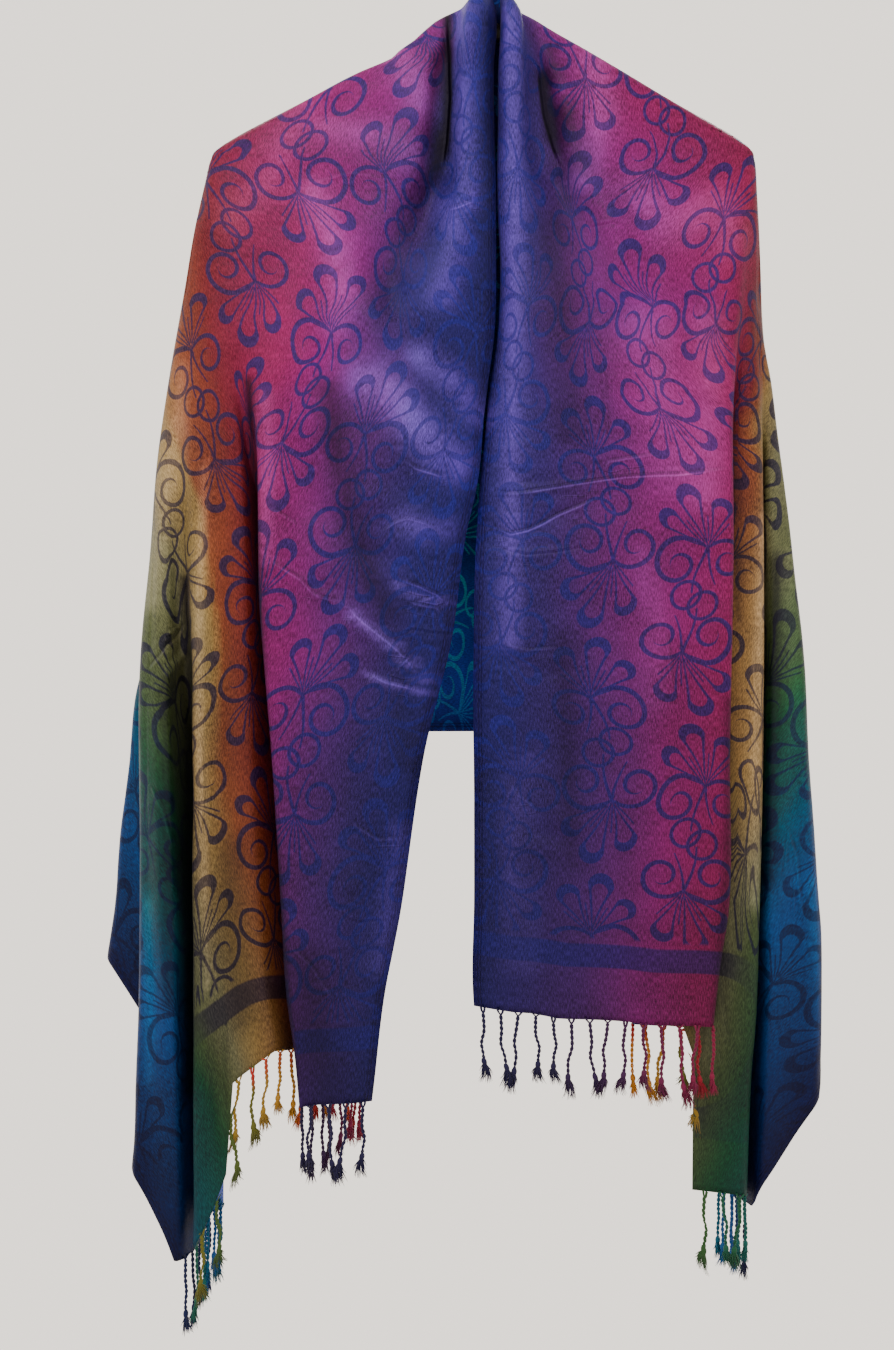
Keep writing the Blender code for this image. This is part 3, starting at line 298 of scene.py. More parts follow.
def makeHalf(name, front, crest, back, outlineTurn, flapTurn, end):  # its lines begin on the crest
    outline = FoldLine("outline", 10, None, 170, [])
    lines = [*front, outline, *back]
    flap = len(front) + 2 if flapTurn else None
    half = Half(name, lines, len(front), crest, outlineTurn, flap, flapTurn, end)
    started = []
    for line in lines:
        first = crestPoint(half, line.starts)
        if line.name == "centre back":
            first = np.array([-1.0, 8.0])
        started.append(line._replace(rows=[(line.starts, *first), *line.rows]))
    return half._replace(lines=started)


def linePlace(half, index, below):  # a fold line's place at a level; the outline leans forwards
    if index == half.outline:
        across = smoothBetween(half.crest, below)[0]
        return np.array([across, min(0.0, -(below - 300) * 0.02)])
    return smoothBetween(half.lines[index].rows, below)


def crestIndex(half, below, back):  # the line index, with its fraction, that starts at a level
    last = len(half.lines) - 1
    order = range(half.outline, last + 1) if back else range(half.outline, -1, -1)
    for near, far in zip(order, order[1:]):
        high, low = half.lines[near].starts, half.lines[far].starts
        if below >= low:
            return near + (far - near) * (high - below) / (high - low)
    return float(order[-1])


def turned(points, widths):  # the knots of a level, with two more round each fold's turn
    out = []
    for i, (t, place) in enumerate(points):
        width = widths[i]
        if width == 0 or i in (0, len(points) - 1):
            out.append((t, place))
            continue
        before, after = points[i - 1][1] - place, points[i + 1][1] - place
        toBefore, toAfter = np.linalg.norm(before), np.linalg.norm(after)
        across = before / max(toBefore, tiny) - after / max(toAfter, tiny)
        reach = min(width / 2, 0.35 * min(toBefore, toAfter))
        across = across / max(np.linalg.norm(across), tiny) * reach
        shareBefore = min(clothSizes["turnShare"], 0.45 * (t - points[i - 1][0]))
        shareAfter = min(clothSizes["turnShare"], 0.45 * (points[i + 1][0] - t))
        out += [(t - shareBefore, place + across), (t, place), (t + shareAfter, place - across)]
    return out


def softened(places):  # a level's line as soft as cloth, at even lengths along it
    long = np.concatenate([[0], np.cumsum(np.linalg.norm(np.diff(places, axis=0), axis=1))])
    softness = min(clothSizes["softness"], long[-1] / 12)
    at = np.linspace(0, long[-1], int(2 * long[-1] / softness) + 1)
    even = np.stack([np.interp(at, long, places[:, k]) for k in (0, 1)], axis=1)
    reach = int(3 * softness / at[1])
    kernel = np.exp(-0.5 * (np.arange(-reach, reach + 1) * at[1] / softness) ** 2)
    kernel /= kernel.sum()
    once = blurred(even, kernel)
    return long, at, 2 * once - blurred(once, kernel)  # the second pass gives back what shrank


def blurred(line, kernel):  # its ends stay in place, because the line is mirrored past them
    pad = min(len(kernel) // 2, len(line) - 1)
    first = 2 * line[0] - line[pad:0:-1]
    last = 2 * line[-1] - line[-2:-2 - pad:-1]
    padded = np.concatenate([first, line, last])
    soft = np.stack([np.convolve(padded[:, k], kernel, "same") for k in (0, 1)], axis=1)
    return soft[pad:pad + len(line)]


def overTheArm(half, below, front, places):  # the cloth stands off the arm that it lies on
    fade = min(1.0, max(0.0, (clothSizes["armEnds"] - below) / 14))
    if fade == 0:
        return places
    pastTip = min(4.0, max(0.0, (below - clothSizes["tipBelow"]) * 0.6))
    inward = np.abs(places[:, 0] - crestPoint(half, below)[0]) - pastTip
    share = np.clip(inward / clothSizes["overArmAcross"], 0, 1)
    depth = clothSizes["overArm"] * fade * np.sqrt(1 - (1 - share) ** 2)
    places[:, 1] = np.where(
        front, np.minimum(places[:, 1], -depth), np.maximum(places[:, 1], depth)
    )
    return places


def spreadOut(places, start, end, spare):  # flat cloth from start to end, more where it is spare
    step = np.linalg.norm(np.diff(places, axis=0), axis=1)
    weight = (spare[1:] + spare[:-1]) / 2
    extra = (end - start) - step.sum()
    grown = step * np.maximum(0.2, 1 + extra * weight / max((step * weight).sum(), tiny))
    along = np.concatenate([[0], np.cumsum(grown)])
    return start + along * (end - start) / max(along[-1], tiny)


def spareWeight(half, below, t):  # how much cloth each stretch can take up, seen ones 1
    weight = np.ones(len(t))
    for index, line in enumerate(half.lines):
        if line.spare and line.spare[0] < below < line.spare[1]:
            fade = min(1.0, (below - line.spare[0]) / 60, (line.spare[1] - below) / 60)
            near = np.abs(t - index) < 0.75
            weight = np.where(near, 1 + (clothSizes["spareWeight"] - 1) * fade, weight)
    return weight


def section(half, below):  # the cloth's whole line at one level, from front edge to centre back
    outline, count = half.outline, len(half.lines)
    onArm = below < half.lines[outline].starts
    stretches = []
    for back in (False, True):
        tip = min(max(crestIndex(half, below, back), 0), count - 1) if onArm else float(outline)
        if back:
            indices = [i for i in range(outline, count) if i > tip + 0.02]
        else:
            indices = [i for i in range(outline + 1) if i < tip - 0.02]
        points = [(i, linePlace(half, i, below)) for i in indices]
        widths = [half.lines[i].turn for i in indices]
        stretches.append((tip, points, widths))
    (frontTip, front, frontWidths), (backTip, rest, backWidths) = stretches
    if onArm:
        crest = crestPoint(half, below)
        points = [*front, (frontTip, crest), (backTip, crest + [0, 0.01]), *rest]
        widths = [*frontWidths, 0, 0, *backWidths]
    else:
        points = [*front, (outline, linePlace(half, outline, below)), *rest]
        widths = [*frontWidths, half.lines[outline].turn, *backWidths]
    knots = turned(points, widths)
    knotT = np.array([k[0] for k in knots])
    knotAlong, along, places = softened(np.array([k[1] for k in knots]))
    anchors = flatAnchors(half, below)
    anchorAlong = np.interp([index for index, _ in anchors], knotT, knotAlong)
    fuller = np.unique(np.concatenate([along, anchorAlong]))
    places = np.stack([np.interp(fuller, along, places[:, k]) for k in (0, 1)], axis=1)
    places = overTheArm(half, below, fuller < anchorAlong[1] + 1e-9, places)
    t = np.interp(fuller, knotAlong, knotT)
    spare = spareWeight(half, below, t)
    flat = np.zeros(len(fuller))
    cuts = np.searchsorted(fuller, anchorAlong)
    for (_, start), (_, end), a, b in zip(anchors, anchors[1:], cuts, cuts[1:]):
        if b > a:
            part = slice(a, b + 1)
            flat[part] = spreadOut(places[part], start, end, spare[part])
    return Section(knotT, knotAlong, fuller, places, flat)


def atIndex(cut, t):  # across, back and flat of a section at line indices
    along = np.interp(t, cut.knotT, cut.knotAlong)
    values = (cut.places[:, 0], cut.places[:, 1], cut.flat)
    return [np.interp(along, cut.along, value) for value in values]


def flatAnchors(half, below):  # line indices whose millimetres along the flat cloth are known
    radius = below - clothSizes["tipBelow"]
    last = len(half.lines) - 1
    if radius <= 0:
        atCrest = crestFlat(below)
        over = abs(crestPoint(half, below)[0])
        return [(0, 0.0), (half.outline, atCrest), (last, atCrest + over)]
    tip = clothSizes["tipFromEdge"]
    anchors = [(0, 0.0), (half.outline, tip + radius * half.outlineTurn)]
    if half.flap:
        anchors.append((half.flap, tip + radius * half.flapTurn))
    return [*anchors, (last, tip + radius * math.pi / 2 + clothSizes["shoulder"])]


def acrossCloth(flat, below):  # from lengths along a level to the distance from the centre edge
    tip = clothSizes["tipFromEdge"]
    radius = np.maximum(below - clothSizes["tipBelow"], tiny)
    angle = np.clip((flat - tip) / radius, 0, math.pi / 2)
    return np.where(flat <= tip, flat, tip + radius * np.sin(angle))


def levelGrid(half):  # the sections at even levels, on even line indices
    levels = np.arange(clothSizes["top"], clothSizes["lowest"], clothSizes["levelStep"])
    index = np.linspace(0, len(half.lines) - 1, 12 * (len(half.lines) - 1) + 1)
    across, back, flat = (np.zeros((len(levels), len(index))) for _ in range(3))
    for row, below in enumerate(levels):
        across[row], back[row], flat[row] = atIndex(section(half, below), index)
    return levels, index, across, back, flat


def endLevel(half, grid, t):  # the level at which a line index comes to the end or the selvage
    levels, index, _, _, flat = grid
    ends = np.array(half.end, float)
    previous = None
    for row, below in enumerate(levels):
        if below < clothSizes["endsBelow"]:
            continue
        along = float(np.interp(t, index, flat[row]))
        width = float(acrossCloth(along, below))
        overEnd = below - np.interp(width, ends[:, 0], ends[:, 1])
        overHem = width - clothSizes["width"] if along > clothSizes["tipFromEdge"] else -1.0
        over = max(overEnd, overHem)
        if over >= 0:
            share = 0 if previous is None else previous / (previous - over)
            return below - clothSizes["levelStep"] * (1 - share)
        previous = over
    return levels[-1]


def place(across, back, below):  # a point of the model from its table sizes
    return Vector((
        (across + clothSizes["shift"]) * mm, back * mm, -(below + clothSizes["seatAboveApex"]) * mm,
    ))


def cornerIndex(half):  # the line index of the outer bottom corner, where end and selvage meet
    t = np.linspace(0, half.outline, 400)
    flat = atIndex(section(half, half.end[-1][1]), t)[2]
    return float(np.interp(clothSizes["width"], acrossCloth(flat, half.end[-1][1]), t))


def makeHalves():  # the left and the right half, as seen from the front
    turns = [math.radians(clothSizes[name]) for name in ("leftTurn", "flapTurn", "rightTurn")]
    left = makeHalf("left", leftLines, leftCrest, leftBackLines, turns[0], turns[1], leftEnd)
    right = makeHalf("right", rightLines, rightCrest, rightBackLines, turns[2], None, rightEnd)
    return left, right


def columnLevels(half, count):  # crest levels whose columns lie closer together round a fold
    fine = np.linspace(half.lines[0].starts, half.lines[half.outline].starts, 2400)
    cost = np.zeros(len(fine) - 1)
    for back in (False, True):
        t = np.array([crestIndex(half, level, back) for level in fine])
        for below in (150, 260, 420, 620, 840):
            across, depth, _ = atIndex(section(half, below), t)
            step = np.hypot(np.diff(across), np.diff(depth))
            heading = np.unwrap(np.arctan2(np.diff(depth), np.diff(across)))
            turn = np.abs(np.diff(heading, append=heading[-1]))
            cost = np.maximum(cost, step / 7 + turn / 0.4)  # 7 mm or 0.4 radians cost the same
    reached = np.concatenate([[0], np.cumsum(cost)])
    return np.interp(np.linspace(0, reached[-1], count), reached, fine)


def onGrid(grid, t, below):  # across, back and flat at line indices and levels
    levels, index, across, back, flat = grid
    a = np.clip((below - levels[0]) / clothSizes["levelStep"], 0, len(levels) - 1.001)
    b = np.clip(t / index[1], 0, len(index) - 1.001)
    i, j = a.astype(int), b.astype(int)
    f, g = a - i, b - j
    return [
        (1 - f) * ((1 - g) * v[i, j] + g * v[i, j + 1])
        + f * ((1 - g) * v[i + 1, j] + g * v[i + 1, j + 1])
        for v in (across, back, flat)
    ]


def halfSurface(half):  # columns of across, back, below and flat, each from the crest down
    sizes = clothSizes
    grid = levelGrid(half)
    levels = columnLevels(half, sizes["columns"])
    last, count = len(half.lines) - 1, len(levels)
    front = [crestIndex(half, level, False) for level in levels]
    back = [crestIndex(half, level, True) for level in levels]
    front[0], back[0] = 0.0, float(last)
    t = np.array(front + back[-2::-1])
    starts = np.concatenate([levels, levels[-2::-1]])
    # Rows: a few close ones round the arm, then more of them at the height of the creases
    pastTip = np.clip((starts - sizes["tipBelow"] + 4) / 12, 0, 1)  # from the arm to clear of it
    top = starts[:, None] + np.array(sizes["rounding"]) * (1 + 2 * pastTip)[:, None]
    share = np.linspace(0, 1, 400)
    dense = np.cumsum(1 + 0.9 * np.exp(-((share - 0.45) / 0.18) ** 2))
    even = np.linspace(dense[0], dense[-1], sizes["rows"] - top.shape[1] + 1)[1:]
    rest = np.interp(even, dense, share)
    ends = np.array([endLevel(half, grid, one) for one in t])
    below = np.concatenate([top, top[:, -1:] + (ends[:, None] - top[:, -1:]) * rest], axis=1)
    across, depth, flat = onGrid(grid, t[:, None] + 0 * below, below)
    for k in range(count):  # the grid is too coarse for the rows round the arm
        for row in range(top.shape[1]):
            cut = section(half, below[k, row])
            for column in {k, 2 * count - 2 - k}:
                across[column, row], depth[column, row], flat[column, row] = atIndex(cut, t[column])
    centre = np.array([linePlace(half, last, b) for b in below[-1]])
    across[-1], depth[-1] = centre[:, 0], centre[:, 1]
    for k in range(1, count):  # the crest's own points, shared by the front and the back
        pair = [k, 2 * count - 2 - k]
        if levels[k] < sizes["tipBelow"] + 8:
            crest = crestPoint(half, levels[k])[0]
            across[pair, 0] = crest * (1 - pastTip[k]) + across[pair, 0].mean() * pastTip[k]
            depth[pair, 0] = 0
        else:
            across[pair, 0], depth[pair, 0] = across[pair, 0].mean(), depth[pair, 0].mean()
        flat[pair, 0] = flat[pair, 0].mean()
    # Both halves come to one depth beside the centre back, where they meet
    heights = range(int(sizes["top"]), 700)
    table = np.array([linePlace(half, last, b) for b in heights])
    near = np.clip(1 - np.abs(across - table[0, 0]) / 28, 0, 1) ** 2 * (t[:, None] > half.outline + 1)
    level = np.interp(below, heights, table[:, 1])
    depth = depth + (level - depth) * near * np.clip((below - 25) / 40, 0, 1)
    return t, across, depth, below, flat


def woven(half, t, below, flat):  # millimetres across the cloth and along it
    sizes = clothSizes
    arm, tip = sizes["alongArm"], sizes["tipFromEdge"]
    radius = np.maximum(below - sizes["tipBelow"], 1e-3)
    angle = np.clip((flat - tip) / radius, 0, math.pi / 2)
    back = (t > half.outline)[:, None]
    onArm = below <= sizes["tipBelow"]
    levels = np.arange(sizes["top"], sizes["tipBelow"] + 1)
    reach = np.array([abs(crestPoint(half, b)[0]) for b in levels])
    reach *= arm / reach[-1]
    lastFlat = np.where(
        onArm, crestFlat(below) + np.interp(below, levels, reach),
        tip + radius * math.pi / 2 + sizes["shoulder"],
    )
    u = np.where(back & onArm, crestFlat(below), acrossCloth(flat, below))
    hanging = below + arm - sizes["tipBelow"]
    s = np.where(flat <= tip, hanging, arm + radius * np.cos(angle))
    fromCentre = np.maximum(lastFlat - flat, 0) * arm / sizes["shoulder"]
    s = np.where(back & ((angle >= math.pi / 2) | onArm), fromCentre, s)
    ends = np.array(half.end, float)
    endBelow = np.interp(u, ends[:, 0], ends[:, 1])
    endRadius = endBelow - sizes["tipBelow"]
    endFan = arm + np.sqrt(np.maximum(endRadius ** 2 - (u - tip) ** 2, 0))
    endStraight = endBelow + arm - sizes["tipBelow"]
    whole = np.where(u <= tip, endStraight, endFan)
    late = np.clip((s - 250) / (whole - 250), 0, 1)  # the rest of the length comes in lower down
    return u, s + (sizes["halfLength"] - whole) * late * late * (3 - 2 * late)


# Press creases and soft dents of each side, in millimetres: how far it stands out (minus is a
# trough), how wide, then its route as (across, below) pairs
creases = {
    "front": [
        (1.5, 3.2, [(3, 389), (52, 386), (100, 380), (150, 376), (184, 372)]),
        (-1.8, 3.4, [(2, 412), (15, 420), (30, 416), (51, 406), (85, 393)]),
        (1.1, 3.0, [(-3, 433), (22, 438), (68, 435)]),
        (0.9, 2.8, [(12, 356), (34, 349)]),
        (-2.4, 6.0, [(0, 586), (12, 600), (24, 624), (42, 650), (80, 668)]),
        (1.8, 4.5, [(0, 636), (14, 652), (28, 668), (60, 660)]),
        (-1.6, 5.0, [(2, 505), (20, 520), (46, 530), (70, 524)]),
        (1.3, 7.0, [(30, 700), (42, 730), (38, 765)]),
        (-1.5, 7.0, [(118, 560), (126, 640), (122, 720)]),
        (1.4, 8.0, [(60, 470), (66, 540), (62, 600)]),
        (1.6, 2.6, [(-66, 459), (-50, 466), (-33, 475)]),
        (-1.2, 2.6, [(-72, 472), (-52, 478), (-31, 481)]),
        (2.0, 2.8, [(-173, 439), (-134, 467), (-108, 476), (-90, 491), (-66, 528), (-57, 540)]),
        (-1.6, 3.0, [(-118, 484), (-98, 506), (-72, 534)]),
        (1.7, 2.6, [(-92, 529), (-78, 537), (-54, 543)]),
        (3.2, 13.0, [(-118, 178), (-96, 240), (-72, 296), (-44, 342), (-14, 372)]),
        (-3.0, 11.0, [(-88, 188), (-64, 262), (-34, 316), (-2, 345)]),
        (2.2, 9.0, [(-150, 250), (-128, 330), (-92, 388), (-44, 420)]),
        (-2.2, 8.0, [(-160, 330), (-132, 398), (-96, 434), (-48, 452)]),
        (1.4, 6.0, [(-62, 560), (-80, 590), (-104, 604)]),
        (-1.5, 6.0, [(-70, 640), (-90, 700), (-96, 770)]),
        (1.2, 5.0, [(-76, 664), (-96, 690), (-120, 702)]),
        (1.3, 2.6, [(-254, 536), (-244, 520), (-232, 503)]),
        (-1.1, 2.6, [(-257, 516), (-246, 502), (-234, 488)]),
        (2.0, 9.0, [(96, 130), (104, 190), (98, 262)]),
        (-1.8, 8.0, [(128, 190), (132, 262), (124, 330)]),
        (1.5, 7.0, [(22, 210), (26, 300), (20, 340)]),
        (-4.0, 9.0, [(-206, 600), (-196, 720), (-191, 850)]),
        (-2.6, 16.0, [(70, 430), (78, 560), (74, 690), (84, 800)]),
        (2.4, 16.0, [(128, 300), (126, 420), (118, 560), (122, 700)]),
        (2.2, 14.0, [(30, 430), (28, 540), (36, 640), (26, 780)]),
        (2.6, 16.0, [(-128, 470), (-122, 600), (-118, 720), (-116, 850)]),
        (-2.4, 14.0, [(-104, 560), (-98, 680), (-102, 800)]),
        (-2.8, 12.0, [(-236, 250), (-212, 330), (-206, 430), (-212, 520)]),
    ],
    "back": [
        (2.6, 20.0, [(-150, 190), (-160, 320), (-170, 470), (-176, 610)]),
        (-2.6, 18.0, [(-96, 170), (-106, 330), (-110, 480), (-112, 600)]),
        (2.3, 17.0, [(-44, 110), (-52, 290), (-56, 470), (-57, 590)]),
        (-2.4, 20.0, [(14, 150), (18, 330), (22, 480), (20, 590)]),
        (2.6, 19.0, [(74, 130), (84, 310), (92, 470), (95, 600)]),
        (-2.3, 17.0, [(130, 190), (142, 350), (150, 500), (153, 610)]),
        (2.1, 15.0, [(184, 250), (196, 390), (204, 540)]),
        (2.2, 4.0, [(-176, 250), (-110, 262), (-40, 256), (22, 262)]),
        (-2.0, 4.5, [(-60, 330), (10, 342), (84, 334), (150, 340)]),
        (1.8, 3.2, [(-20, 420), (40, 430), (118, 424)]),
        (-2.4, 6.0, [(-150, 372), (-112, 408), (-60, 440), (-8, 452)]),
        (2.0, 3.4, [(-128, 498), (-84, 508), (-30, 502)]),
        (-2.2, 7.0, [(40, 110), (30, 190), (38, 250)]),
        (2.4, 9.0, [(-34, 90), (-44, 170), (-36, 230)]),
        (-1.8, 5.0, [(60, 476), (92, 500), (132, 508)]),
        (1.6, 3.0, [(120, 216), (152, 230), (186, 226)]),
    ],
}


# Press marks of each side, drawn by the weave's own relief and, where they stand out, with a painted
# highlight on the ridge and painted shade beside it: how strong (minus is a trough, and under -2 a
# narrow dark line of painted shade beside a fold), its route
fineCreases = {
    "front": [
        (-3.0, [(-33, 134), (-30, 108), (-28, 77), (-29, 41), (-31, 15)]),
        (-3.0, [(39, 47), (41, 69), (44, 92), (51, 116), (59, 134)]),
        (1.0, [(-171, 442), (-146, 457), (-134, 470), (-111, 476)]),
        (1.9, [(-111, 476), (-101, 487), (-83, 502), (-68, 514), (-52, 533)]),
        (1.5, [(-95, 529), (-80, 537), (-52, 544)]),
        (1.5, [(-70, 457), (-47, 465), (-29, 475)]),
        (1.2, [(-68, 469), (-53, 478), (-29, 480)]),
        (-1.2, [(-71, 493), (-49, 498), (-26, 500)]),
        (1.4, [(-66, 364), (-47, 377), (-25, 372)]),
        (1.1, [(-83, 421), (-66, 409), (-39, 416)]),
        (0.7, [(-171, 401), (-159, 408), (-146, 416)]),
        (1.0, [(-267, 529), (-244, 502), (-235, 487)]),
        (0.8, [(-256, 511), (-249, 497), (-241, 492)]),
        (1.0, [(-264, 614), (-254, 639), (-246, 669)]),
        (1.5, [(2, 389), (21, 391), (52, 386), (77, 382), (107, 378), (149, 376), (189, 371)]),
        (1.0, [(88, 367), (110, 363), (133, 360)]),
        (1.6, [(1, 415), (21, 423), (39, 416), (55, 407), (70, 401), (86, 393)]),
        (-1.0, [(0, 428), (26, 438), (52, 436), (78, 431)]),
        (0.8, [(137, 495), (140, 515), (143, 543)]),
        (1.3, [(-33, 167), (-24, 167), (-17, 164), (-6, 161)]),
        (1.0, [(-20, 156), (-7, 155)]),
        (-0.9, [(-23, 228), (-9, 231), (2, 232)]),
        (-0.7, [(-13, 251), (-4, 250), (3, 249)]),
        (0.5, [(-66, 167), (-59, 184), (-53, 182)]),
        (-0.8, [(-82, 231), (-69, 258), (-72, 292)]),
        (0.4, [(-138, 195), (-124, 205), (-107, 195)]),
        (0.35, [(-156, 140), (-134, 145), (-108, 137), (-81, 143)]),
        (-0.8, [(78, 181), (97, 178), (121, 184)]),
        (0.8, [(89, 282), (92, 337), (89, 355)]),
        (0.8, [(160, 235), (178, 258), (189, 292)]),
        (0.7, [(9, 503), (26, 513), (58, 510)]),
        (0.9, [(10, 598), (20, 622), (42, 638)]),
        (-0.8, [(58, 677), (73, 709), (70, 748)]),
        (0.8, [(-107, 645), (-85, 660), (-61, 657)]),
        (-0.8, [(-124, 709), (-103, 724), (-75, 721)]),
        (0.8, [(-156, 740), (-138, 756), (-116, 788)]),
        (0.8, [(-225, 574), (-222, 622), (-224, 669)]),
        (0.8, [(206, 503), (209, 551), (208, 598)]),
        (0.7, [(233, 645), (243, 677), (247, 724)]),
    ],
    "back": [
        (1.0, [(-171, 250), (-108, 261), (-37, 255), (20, 261)]),
        (-0.9, [(-61, 337), (10, 350), (83, 342)]),
        (1.2, [(-21, 424), (42, 434), (121, 429)]),
        (0.9, [(-148, 377), (-111, 408), (-59, 450), (-9, 462)]),
        (1.0, [(-129, 503), (-85, 513), (-29, 506)]),
        (-0.9, [(58, 481), (92, 503), (129, 511)]),
    ],
}

# Painted highlights of the cloth's sheen, and painted shade where the folds and gaps are dark,
# on each side: how strong, how wide, its route
paintedHighlights = {
    "front": [
        (0.55, 9.5, [(-20, 9), (-21, 92), (-15, 160)]),
        (0.5, 12.6, [(-72, 45), (-59, 61), (-50, 81)]),
        (0.35, 11.1, [(-124, 100), (-85, 108), (-58, 124)]),
        (0.45, 11.1, [(-138, 152), (-122, 187), (-112, 235), (-116, 258)]),
        (0.88, 13.5, [(-96, 301), (-75, 315), (-50, 344), (-28, 366)]),
        (0.6, 10.5, [(-53, 282), (-28, 301), (-7, 329)]),
        (0.5, 9.5, [(-64, 410), (-50, 418), (-37, 416)]),
        (0.55, 4.0, [(-67, 462), (-47, 472), (-29, 476)]),
        (0.75, 3.2, [(-111, 476), (-101, 487), (-83, 502), (-68, 514), (-52, 533)]),
        (0.6, 2.8, [(-95, 529), (-80, 537), (-52, 544)]),
        (0.35, 7.1, [(-173, 314), (-171, 369), (-173, 440)]),
        (0.3, 15.8, [(-148, 92), (-179, 148), (-201, 171)]),
        (0.6, 8.7, [(17, 12), (21, 85), (20, 171), (21, 258), (19, 345), (17, 440), (14, 503)]),
        (0.5, 12.6, [(81, 45), (89, 85), (73, 140)]),
        (0.35, 17.4, [(118, 152), (143, 179), (178, 164), (192, 187)]),
        (0.3, 20.5, [(121, 258), (137, 314), (146, 369)]),
        (0.3, 14.2, [(171, 258), (173, 329), (168, 393)]),
        (0.18, 11.1, [(121, 440), (130, 487), (129, 551)]),
        (0.55, 5.5, [(217, 408), (213, 503), (209, 598), (209, 709)]),
        (0.5, 4.0, [(-221, 369), (-225, 472), (-225, 598), (-221, 709), (-217, 772)]),
        (0.45, 9.5, [(-244, 337), (-254, 393), (-266, 472)]),
        (0.3, 9.5, [(-67, 653), (-75, 709), (-85, 756)]),
        (0.5, 4.7, [(-277, 598), (-281, 669), (-279, 709)]),
        (0.4, 4.7, [(-266, 709), (-265, 788), (-265, 851)]),
        (0.4, 5.5, [(257, 693), (260, 756), (261, 819)]),
        (0.3, 7.1, [(236, 440), (241, 519), (244, 582)]),
        (0.3, 7.9, [(26, 598), (23, 677), (26, 756)]),
        (0.5, 11.1, [(-32, 165), (-24, 195), (-36, 235)]),
        (0.4, 6.3, [(-239, 290), (-243, 337)]),
    ],
    "back": [
        (0.4, 15.8, [(-148, 171), (-53, 250), (58, 235), (137, 179)]),
        (0.35, 12.6, [(-85, 329), (-13, 369), (89, 353)]),
    ],
}
# painted shade in the folds, the recesses and the gaps between the columns
paintedShades = {
    "front": [
        (0.5, 7.1, [(-40, 45), (-42, 92), (-45, 140)]),
        (0.4, 6.3, [(2, 21), (1, 156), (-1, 266), (-7, 329)]),
        (0.92, 6.3, [(44, 59), (48, 83), (51, 107)]),
        (0.5, 9.5, [(55, 92), (59, 124), (62, 156)]),
        (0.3, 11.1, [(-50, 152), (-67, 195), (-80, 243)]),
        (0.6, 11.9, [(-124, 310), (-115, 361), (-107, 401), (-91, 456), (-78, 481)]),
        (0.3, 12.6, [(-61, 503), (-69, 551), (-61, 598)]),
        (0.85, 6.0, [(-237, 456), (-235, 503), (-235, 551), (-236, 630), (-235, 709), (-235, 859)]),
        (0.5, 7.1, [(-250, 535), (-250, 630), (-250, 709), (-249, 788)]),
        (0.7, 6.3, [(228, 440), (224, 551), (222, 630), (220, 693)]),
        (0.45, 4.0, [(191, 329), (194, 408), (194, 487)]),
        (0.5, 4.7, [(187, 551), (186, 669), (181, 756), (176, 797)]),
        (0.42, 14.0, [(52, 180), (56, 235), (60, 290), (62, 340)]),
        (0.45, 19.0, [(-140, 756), (-135, 811), (-124, 855)]),
        (0.35, 7.9, [(58, 503), (62, 598), (66, 677)]),
        (1.0, 5.1, [(-31, 6), (-30, 45), (-31, 92), (-33, 122)]),
        (0.9, 7.1, [(-36, 108), (-40, 132)]),
        (0.8, 4.2, [(-186, 302), (-182, 377), (-179, 440), (-174, 551), (-161, 709), (-151, 847)]),
        (0.45, 14.2, [(-201, 669), (-198, 732), (-190, 796)]),
        (0.55, 8.7, [(49, 39), (54, 61)]),
        (0.55, 9.5, [(62, 85), (70, 108), (75, 132)]),
    ],
    "back": [
        (0.4, 11.1, [(-37, 108), (-45, 179), (-39, 250)]),
        (0.35, 12.6, [(89, 219), (81, 329), (94, 440)]),
    ],
}

